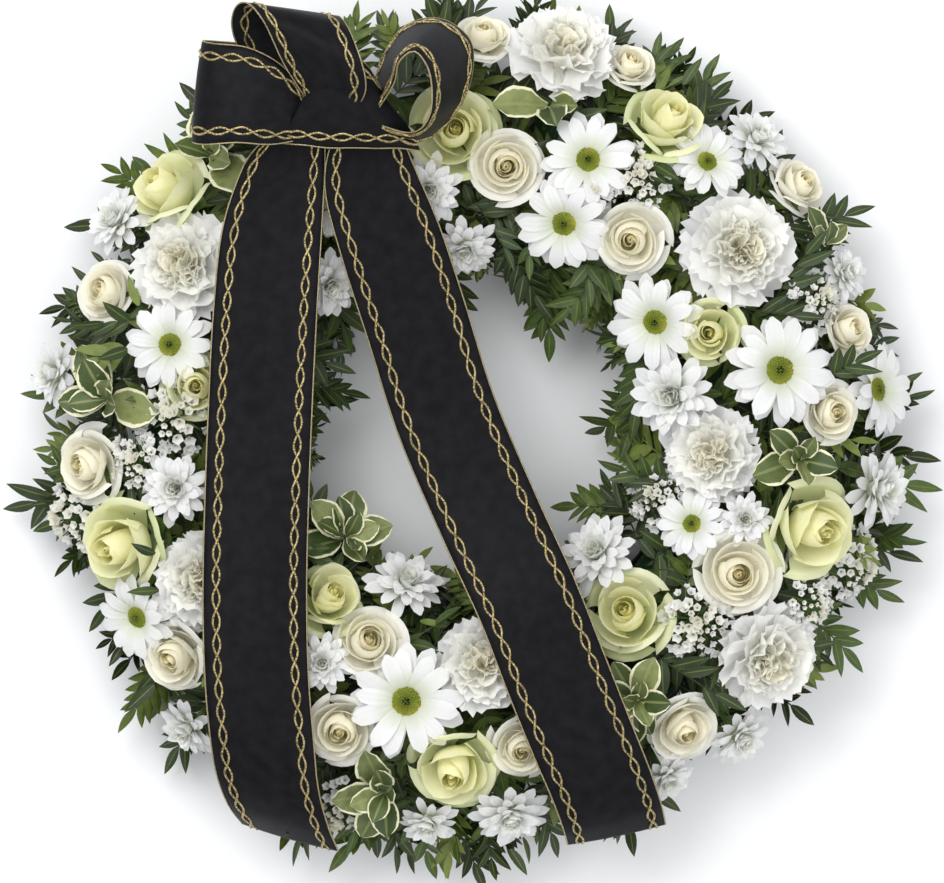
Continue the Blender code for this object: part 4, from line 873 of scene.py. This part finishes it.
def double_layers(seed):
    return [
        whorl(BEAD, "ray", 1, (0, 0), (-0.16, -0.16), (0, 0), (0.42, 0.42, 0.34), (0.42, 0.42, 0.34),
              seed=seed),
        whorl(STRAP, "ray", 34, (0.03, 0.14), (0.1, 0.06), (86, 50), (1.0, 0.4, 0.7), (1.2, 0.62, 0.8),
              age=(0.0, 0.5), wobble=0.2, uneven=0.14, seed=seed),
        whorl(RAY, "ray", 34, (0.1, 0.18), (0.06, -0.04), (48, 4), (1.05, 0.62, 0.9), (1.35, 0.84, 0.9),
              age=(0.5, 1.0), wobble=0.17, uneven=0.12, seed=seed + 1),
        whorl(CUP_PETAL, "stem", 5, (0, 0), (-0.26, -0.26), (0, 0), (0.26, 0.26, 0.24), (0.26, 0.26, 0.24),
              turn=math.tau / 5, wobble=0.0, seed=seed),
    ]


def statice_layers(seed):
    return [
        whorl(PAPERY_CUP, "statice", 58, (0.0, 1.15), (0.6, -0.3), (-6, -55), (0.17, 0.17, 0.22),
              (0.2, 0.2, 0.24), ease=0.6, wobble=0.35, uneven=0.35, seed=seed),
        whorl(LANCE, "stem", 26, (0.0, 0.2), (-0.6, -0.6), (85, 40), (0.2, 1.15, 0.5), (0.2, 1.1, 0.5),
              ease=0.6, wobble=0.2, seed=seed + 1),
    ]


def rosette_layers(seed):
    return [
        whorl(WAVY_LEAF, "pittosporum", 5, (0.02, 0.05), (0.1, 0.02), (62, 36), (0.8, 0.75, 0.9),
              (1.05, 1.0, 1), wobble=0.3, uneven=0.15, seed=seed),
        whorl(WAVY_LEAF, "pittosporum", 7, (0.04, 0.06), (-0.05, -0.12), (26, 6), (1.2, 1.15, 1.1),
              (1.35, 1.3, 1.2), wobble=0.28, uneven=0.15, seed=seed + 1),
    ]


def joined(name, shapes):
    """One object of several (mesh, matrix) shapes, linked to the scene."""
    objects = []
    for mesh, matrix in shapes:
        copy = mesh.copy()
        copy.transform(matrix)
        objects.append(bpy.data.objects.new(name, copy))
        bpy.context.scene.collection.objects.link(objects[-1])
    first = objects[0]
    if len(objects) > 1:
        with bpy.context.temp_override(
                active_object=first, object=first, selected_objects=objects,
                selected_editable_objects=objects):
            bpy.ops.object.join()
    first.name = name
    return first


# Each kind of head: its layers, and how many versions of it are made
KINDS = {
    "rose": (rose_layers, 5),
    "spray_rose": (spray_rose_layers, 5),
    "carnation": (carnation_layers, 4),
    "daisy": (daisy_layers, 5),
    "double": (double_layers, 5),
    "statice": (statice_layers, 3),
    "rosette": (rosette_layers, 4),
}
HEADS = {}
for kind, (layers, versions) in KINDS.items():
    HEADS[kind] = []
    for version in range(versions):
        whole = joined("head", [(mesh, Matrix()) for mesh in layers(100 * version + 7)])
        HEADS[kind].append(whole.data)
        bpy.data.objects.remove(whole)


# Sprigs for the foliage, at their real size, as (pairs of leaflets, sag, sweep)

SPRIGS = bpy.data.collections.new("sprigs")
for number, (pairs, sag, sweep) in enumerate([(5, -9, 5), (4, -4, -6), (6, -12, -3), (5, 3, 8), (4, -7, 0)]):
    sprig = grown(SPRIG, {
        "Leaflet": LANCE, "Pairs": pairs, "Length": (40 + 5 * pairs) * MM, "Leaf Length": 27 * MM,
        "Tip Share": 0.8, "Slant": 0.95, "Twist": 0.35, "Sag": sag * MM, "Sweep": sweep * MM,
        "Rib": 0.6 * MM, "Seed": number, "Finish": FINISH["lentisk"],
    })
    SPRIGS.objects.link(bpy.data.objects.new(f"sprig_{number}", sprig))


def outward(angle_deg):
    a = math.radians(angle_deg)
    return Vector((math.cos(a), math.sin(a), 0))


def lines_mesh(lines, across=None, lift=None):
    """A mesh of open lines of points. With across and lift, one vector for each point, those are kept
    as attributes."""
    mesh = bpy.data.meshes.new("lines")
    points, edges = [], []
    for line in lines:
        edges += [(len(points) + k, len(points) + k + 1) for k in range(len(line) - 1)]
        points += line
    mesh.from_pydata(points, edges, [])
    for name, vectors in (("across", across), ("lift", lift)):
        if vectors:
            layer = mesh.attributes.new(name, "FLOAT_VECTOR", "POINT")
            for element, vector in zip(layer.data, vectors):
                element.vector = vector
    return mesh


def tubes(lines, radius, finish, sides=6):
    return grown(TUBE, {"Radius": radius, "Sides": sides, "Finish": FINISH[finish]}, lines_mesh(lines))


# The place of each bloom, as the matrix that puts its head there
BLOOMS = []


def islands(mesh):
    """For each vertex, the lowest number of a vertex in its own loose part."""
    ends = np.empty(len(mesh.edges) * 2, np.int64)
    mesh.edges.foreach_get("vertices", ends)
    first, second = ends[::2], ends[1::2]
    label = np.arange(len(mesh.vertices))
    while True:
        lower = np.minimum(label[first], label[second])
        found = label.copy()
        np.minimum.at(found, first, lower)
        np.minimum.at(found, second, lower)
        found = found[found]
        if (found == label).all():
            return label
        label = found


def cleared(mesh):
    """The mesh without the leaves that would grow through a bloom or hide its face."""
    points = np.empty(len(mesh.vertices) * 3)
    mesh.vertices.foreach_get("co", points)
    points = np.c_[points.reshape(-1, 3), np.ones(len(mesh.vertices))]
    inside = np.zeros(len(points), bool)
    for matrix in BLOOMS:
        x, y, z = (points @ np.array(matrix.inverted()).T)[:, :3].T
        inside |= (np.hypot(x, y) < CLEAR_RADIUS) & (z > CLEAR_FROM) & (z < CLEAR_TO)
    label = islands(mesh)
    struck = np.isin(label, label[inside])
    shape = bmesh.new()
    shape.from_mesh(mesh)
    gone = [vertex for vertex, hit in zip(shape.verts, struck) if hit]
    bmesh.ops.delete(shape, geom=gone, context="VERTS")
    shape.to_mesh(mesh)
    shape.free()
    return mesh


class Site:
    """The place of one head on the dome over the ring."""

    def __init__(self, kind, angle_deg, offset_mm, radius_mm, draw):
        out = outward(angle_deg)
        lean = math.acos(offset_mm * MM / DOME_HALF_WIDTH)
        self.root = RING_CENTRE + out * RING_R + UP * TUBE_Z
        reach = out * math.cos(lean) * DOME_HALF_WIDTH + UP * math.sin(lean) * DOME_HEIGHT
        facing = reach.normalized().lerp(UP, UPTURN.get(kind, USUAL_UPTURN)).normalized()
        self.mesh = draw.choice(HEADS[kind])
        spin = Matrix.Rotation(draw.uniform(0, math.tau), 4, "Z")
        turn = facing.to_track_quat("Z", "Y").to_matrix().to_4x4() @ spin
        size = radius_mm * FULLNESS * MM
        placed = Matrix.Translation(self.root + reach) @ turn @ Matrix.Scale(size, 4)
        top = max((placed @ v.co).z for v in self.mesh.vertices)
        self.matrix = Matrix.Translation((0, 0, min(0.0, BLOOM_CEILING - top))) @ placed
        self.neck = self.matrix @ Vector((0, 0, NECK))
        self.foot = self.root + (self.neck - self.root).normalized() * STEM_START
        if kind not in ("rosette", "statice"):
            BLOOMS.append(self.matrix)


def ride(piece, slot, *nodes):
    """Puts a finished piece on the body, in place of its nodes; its slot is not used."""
    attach(piece, "root")
    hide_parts(*nodes)
    return piece


def stemmed_piece(name, heads, slot, draw):
    """The heads of one node with their stems."""
    sites = [Site(*head, draw) for head in heads]
    shapes = [(site.mesh, site.matrix) for site in sites]
    shapes.append((tubes([[site.foot, site.neck] for site in sites], STEM_RADIUS, "stem"), Matrix()))
    return ride(joined(name + "_bloom", shapes), slot, name)


def dome_strip(side, first, last, profile):
    """A guide surface along the ring, through (offset, height) points in mm from the top outwards."""
    way = 1 if side == "outer" else -1
    count = round((last - first) / 5)
    points = []
    for k in range(count + 1):
        out = outward(first + (last - first) * k / count)
        points += [out * (RING_R + way * offset * MM) + UP * height * MM for offset, height in profile]
    wide = len(profile)
    faces = []
    for k in range(count):
        for p in range(wide - 1):
            here = k * wide + p
            face = (here, here + 1, here + 1 + wide, here + wide)
            faces.append(face if way > 0 else face[::-1])
    mesh = bpy.data.meshes.new("strip")
    mesh.from_pydata(points, [], faces)
    return mesh


def foliage(side, strip, density, fan, rise, size, seed, roll=0.4):
    return grown(FOLIAGE, {
        "Sprigs": SPRIGS, "Density": density, "Way": 1.0 if side == "outer" else -1.0, "Fan": fan,
        "Least Rise": math.radians(rise[0]), "Most Rise": math.radians(rise[1]), "Least Size": size[0],
        "Most Size": size[1], "Roll": roll, "Seed": seed, "Finish": FINISH["lentisk"],
    }, strip)


# A long sprig: where it starts and ends
SPRIG_FOOT_R, SPRIG_FOOT_Z, SPRIG_TIP_Z = 206 * MM, 42 * MM, 34 * MM
SPRIG_LEAN_DEG = 5


def long_sprig(angle, reach_mm, number):
    """One sprig from the edge of the foam out to this reach from the ring's centre."""
    start = RING_CENTRE + outward(angle - SPRIG_LEAN_DEG) * SPRIG_FOOT_R + UP * SPRIG_FOOT_Z
    along = RING_CENTRE + outward(angle) * reach_mm * MM + UP * SPRIG_TIP_Z - start
    mesh = SPRIGS.objects[number % len(SPRIGS.objects)].data
    forward = along.normalized()
    aside = forward.cross(UP).normalized()
    turn = Matrix((aside, forward, aside.cross(forward))).transposed().to_4x4()
    size = along.length / max(v.co.y for v in mesh.vertices)
    mesh = mesh.copy()
    tint = mesh.attributes.new("tint", "FLOAT", "POINT")
    tint.data.foreach_set("value", [0.35 + 0.13 * number] * len(mesh.vertices))
    return mesh, Matrix.Translation(start) @ turn @ Matrix.Scale(size, 4)


# The fringe starts this far from the middle of the foam, in mm, with sprigs of this usual length
FRINGE_START = 48
SPRIG_LENGTH = 66


def greens_piece(name, seed, draw):
    """Foliage over one stretch of the ring: a bed close to the foam, a cover between the blooms, a fringe
    past its edge, its long sprigs and the rosettes."""
    side, first, last, rosettes, reach = GREENS[name]
    edge = (reach - RING_R / MM) if side == "outer" else (RING_R / MM - reach)
    bed = dome_strip(side, first, last, [(0, 64), (30, 60), (44, 46)])
    cover = dome_strip(side, first, last, [(0, 82), (32, 76), (52, 58)])
    flank = dome_strip(side, first, last, [(45, 66), (56, 44), (52, 16)])
    long = (edge - FRINGE_START) / SPRIG_LENGTH
    leafy = [
        foliage(side, bed, 2200, math.pi, (0, 14), (0.7, 0.95), seed + 20),
        foliage(side, cover, 2100, 1.3, (4, 42), (0.62, 0.92), seed),
        foliage(side, flank, 1700, 0.6, (48, 86), (0.62 * long, 1.06 * long), seed + 10),
    ]
    for mesh in leafy:
        mesh.transform(Matrix.Translation(RING_CENTRE))
    shapes = [(cleared(mesh), Matrix()) for mesh in leafy]
    for number, (angle, tip) in enumerate(LONG_SPRIGS.get(name, [])):
        shapes.append(long_sprig(angle, tip, number))
    for rosette in rosettes:
        site = Site("rosette", *rosette, draw)
        leaves = site.mesh.copy()
        leaves.transform(site.matrix)
        shapes.append((cleared(leaves), Matrix()))
        shapes.append((tubes([[site.foot, site.neck]], ROSETTE_STEM_RADIUS, "stem"), Matrix()))
    return ride(joined(name + "_foliage", shapes), "greens", name)


# Ribbon

def through(rows, per_span):
    """Points on a smooth cubic curve through rows of numbers, as lists."""
    found = []
    for k in range(len(rows) - 1):
        a, b, c, d = (rows[min(max(k + s, 0), len(rows) - 1)] for s in (-1, 0, 1, 2))
        for step in range(per_span):
            t = step / per_span
            found.append([
                0.5 * (2 * q + (r - p) * t + (2 * p - 5 * q + 4 * r - s) * t * t
                       + (3 * q - p - 3 * r + s) * t ** 3)
                for p, q, r, s in zip(a, b, c, d)
            ])
    found.append(list(rows[-1]))
    return found


class Band:
    """A stretch of ribbon: its middle line, and across it and up from it at each point."""

    def __init__(self, rows, bow, per_span=8):
        self.bow = bow * MM
        fine = through(rows, per_span)
        self.middle = [RING_CENTRE + Vector(row[:3]) * MM for row in fine]
        self.half = [Vector(row[3:]) * MM for row in fine]
        self.lift = []
        self.along = [0.0]
        for k, half in enumerate(self.half):
            ahead = self.middle[min(k + 1, len(fine) - 1)] - self.middle[max(k - 1, 0)]
            self.lift.append(half.cross(ahead).normalized())
        for a, b in zip(self.middle, self.middle[1:]):
            self.along.append(self.along[-1] + (b - a).length)

    def point(self, k, across):
        """The point at this station, across from -1 to 1."""
        return self.middle[k] + self.half[k] * across + self.lift[k] * self.bow * across * across

    def line(self, inset):
        """The line this far in from each edge, as (points, across, lift) twice."""
        found = []
        for way in (-1, 1):
            share = way * (1 - inset / (RIBBON_WIDTH / 2))
            found.append((
                [self.point(k, share) for k in range(len(self.middle))],
                [half.normalized() for half in self.half], self.lift))
        return found


def ribbon_sheet(name, band, columns=16):
    """The band as cloth with a real thickness."""
    points, faces, flat = [], [], []
    for k in range(len(band.middle)):
        for c in range(columns + 1):
            across = 2 * c / columns - 1
            points.append(band.point(k, across))
            flat.append((across * RIBBON_WIDTH / 2, band.along[k]))
    wide = columns + 1
    for k in range(len(band.middle) - 1):
        for c in range(columns):
            here = k * wide + c
            faces.append((here, here + wide, here + wide + 1, here + 1))
    mesh = bpy.data.meshes.new(name)
    mesh.from_pydata(points, [], faces)
    layer = mesh.uv_layers.new(name="cloth")
    for loop in mesh.loops:
        layer.data[loop.index].uv = flat[loop.vertex_index]
    mesh.shade_smooth()
    mesh.materials.append(FINISH["satin"])
    piece = bpy.data.objects.new(name, mesh)
    bpy.context.scene.collection.objects.link(piece)
    solid = piece.modifiers.new("thickness", "SOLIDIFY")
    solid.thickness = RIBBON_THICKNESS
    solid.offset = 0
    return piece


def trim(name, bands, inset, settings):
    """Strands along both edges of all bands, in one piece."""
    lines, across, lift = [], [], []
    for band in bands:
        for points, aside, above in band.line(inset):
            lines.append(points)
            across += aside
            lift += above
    mesh = grown(STRAND, settings, lines_mesh(lines, across, lift))
    piece = bpy.data.objects.new(name, mesh)
    bpy.context.scene.collection.objects.link(piece)
    return piece


def ribbon():
    """The bow and its tails as sheets of cloth, with the braid on both faces and the wire in the edges."""
    bands = {name: Band(rows, BOW.get(name, USUAL_BOW)) for name, rows in BANDS.items()}
    for name, band in bands.items():
        piece = ride(ribbon_sheet(name, band), "ribbon", "ribbon_bow")
        tail = "tail" in name
    for side, rise in (("face", BRAID_RISE), ("back", -BRAID_RISE)):
        settings = BRAID | {"Rise": rise, "Finish": FINISH["braid"]}
        ride(trim("ribbon_braid_" + side, bands.values(), BRAID_INSET, settings), "ribbon", "ribbon_bow")
    edging = trim("ribbon_edge_wire", bands.values(), EDGE_INSET, EDGE_WIRE | {"Finish": FINISH["edge"]})
    ride(edging, "ribbon", "ribbon_bow")


def binding(wire_radius=0.8 * MM, stand_off=1.5 * MM, wander=0.12, steps=32):
    """The wire that ties the bow on: a ring round the knot, which wanders a little along it, and its leg
    into the foam."""
    radius = KNOT_RADIUS + stand_off
    knot = RING_CENTRE + KNOT
    ring = []
    for k in range(steps + 1):
        turn = math.tau * k / steps
        ring.append(knot + radius * Vector((wander * math.sin(2 * turn), math.cos(turn), math.sin(turn))))
    angle = math.degrees(math.atan2(KNOT.y, KNOT.x))
    root = RING_CENTRE + outward(angle) * RING_R + UP * TUBE_Z
    way = (root - knot).normalized()
    leg = [knot + way * radius, root - way * STEM_START]
    piece = joined("bow_wire_binding", [(tubes([ring, leg], wire_radius, "wire", 8), Matrix())])
    ride(piece, "wire", "bow_wire")


# Foam and tray

def turned(name, profile, finish, segments=160):
    """A ring turned round the axis of the wreath from a closed profile of (radius, height)."""
    mesh = bpy.data.meshes.new(name)
    count = len(profile)
    points, faces = [], []
    for k in range(segments):
        out = outward(360 * k / segments)
        points += [RING_CENTRE + out * r + UP * z for r, z in profile]
        here, there = k * count, (k + 1) % segments * count
        for p in range(count):
            q = (p + 1) % count
            faces.append((here + p, there + p, there + q, here + q))
    mesh.from_pydata(points, [], faces)
    mesh.materials.append(FINISH[finish])
    mesh.shade_smooth()
    mesh.set_sharp_from_angle(angle=math.radians(50))
    piece = bpy.data.objects.new(name, mesh)
    bpy.context.scene.collection.objects.link(piece)
    return piece


def rounded_profile(corners, steps=4):
    """A closed profile with an arc at each corner, given as (radius, height, rounding)."""
    found = []
    for k, (x, y, rounding) in enumerate(corners):
        here = Vector((x, y))
        before = (Vector(corners[k - 1][:2]) - here).normalized() * rounding
        after = (Vector(corners[(k + 1) % len(corners)][:2]) - here).normalized() * rounding
        for step in range(steps + 1):
            t = step / steps
            point = here + before * (1 - t) ** 2 + after * t * t
            found.append((point.x, point.y))
    return found


def foam(inner, outer):
    """The foam ring, cut with a slope along both top edges."""
    low, shoulder, slope = FOAM_UNDERSIDE, 45 * MM, 13 * MM
    foot_round, top_round = 2 * MM, 6 * MM
    block = turned("foam_ring_block", rounded_profile([
        (inner, low, foot_round), (outer, low, foot_round), (outer, shoulder, top_round),
        (outer - slope, FOAM_TOP, top_round), (inner + slope, FOAM_TOP, top_round),
        (inner, shoulder, top_round),
    ]), "foam")
    ride(block, "foam", "foam_ring")


def tray(inner, outer):
    """The moulded tray, a channel with a little room round the foam."""
    wall, gap, top = 2 * MM, 0.35 * MM, TRAY_HIGH.z
    foot_round, rim_round = 1 * MM, 0.7 * MM
    shell = turned("base_tray_shell", rounded_profile([
        (inner - gap - wall, 0, foot_round), (outer + gap + wall, 0, foot_round),
        (outer + gap + wall, top, rim_round), (outer + gap, top, rim_round),
        (outer + gap, wall, rim_round), (inner - gap, wall, rim_round),
        (inner - gap, top, rim_round), (inner - gap - wall, top, rim_round),
    ]), "tray")
    ride(shell, "tray", "base_tray")


# Floor, light and camera

VIEW_WIDTH = 566 * MM
VIEW_CENTRE = Vector((-0.3, -0.9, 0)) * MM
VIEW_LEVEL = 60 * MM
CAMERA_HEIGHT = 7.0
FLOOR_REACH = 6.0
FLOOR_DROP = 0.5 * MM
WORLD_STRENGTH = 0.84
LIT_POINT = Vector((0, 0, 0.05))


def stage():
    """A plain pale floor under an even pale sky."""
    mesh = bpy.data.meshes.new("floor")
    far = FLOOR_REACH
    mesh.from_pydata([(-far, -far, 0), (far, -far, 0), (far, far, 0), (-far, far, 0)], [], [(0, 1, 2, 3)])
    material, tree, shader = new_material("pale floor", 0.9)
    shader.inputs["Base Color"].default_value = linear("#F9FAFB")
    mesh.materials.append(material)
    floor = bpy.data.objects.new("floor", mesh)
    floor.location.z = -FLOOR_DROP
    bpy.context.scene.collection.objects.link(floor)
    world = bpy.context.scene.world or bpy.data.worlds.new("studio")
    bpy.context.scene.world = world
    world.use_nodes = True
    sky = world.node_tree.nodes["Background"]
    sky.inputs["Color"].default_value = linear("#F6F7F9")
    sky.inputs["Strength"].default_value = WORLD_STRENGTH
    bpy.context.scene.view_settings.view_transform = "Standard"


def softbox(name, place, size, watts):
    """A square lamp aimed at the middle of the wreath."""
    light = bpy.data.lights.new(name, "AREA")
    light.size = size
    light.energy = watts
    lamp = bpy.data.objects.new(name, light)
    lamp.location = place
    lamp.rotation_euler = (LIT_POINT - Vector(place)).to_track_quat("-Z", "Y").to_euler()
    bpy.context.scene.collection.objects.link(lamp)


def camera():
    """Straight down, with the lens that shows VIEW_WIDTH at VIEW_LEVEL above the floor."""
    view = bpy.data.cameras.new("camera")
    view.sensor_width = 36
    distance = CAMERA_HEIGHT - VIEW_LEVEL
    view.lens = view.sensor_width * distance / VIEW_WIDTH
    view.clip_start, view.clip_end = 0.05, 20
    seat = bpy.data.objects.new("camera", view)
    seat.location = VIEW_CENTRE + UP * CAMERA_HEIGHT
    bpy.context.scene.collection.objects.link(seat)
    bpy.context.scene.camera = seat


def main():
    draw = random.Random(SEED)
    for name, heads in STEMMED.items():
        stemmed_piece(name, heads, name.rsplit("_", 1)[0], draw)
    for number, name in enumerate(GREENS):
        greens_piece(name, 40 + number, draw)
    ribbon()
    binding()
    inner, outer = RING_R - FOAM_HALF_WIDTH, RING_R + FOAM_HALF_WIDTH
    foam(inner, outer)
    tray(inner, outer)
    stage()
    softbox("key", (-0.6, 0.8, 1.8), 1.2, 23)
    softbox("fill", (0.9, -0.6, 1.6), 1.8, 9)
    camera()
    for pattern in (RAY, STRAP, *FRILLED, OPEN_PETAL, CUP_PETAL, HEART_PETAL, WAVY_LEAF, LANCE, PAPERY_CUP,
                    BEAD, *SPRIGS.objects):
        bpy.data.objects.remove(pattern)


main()
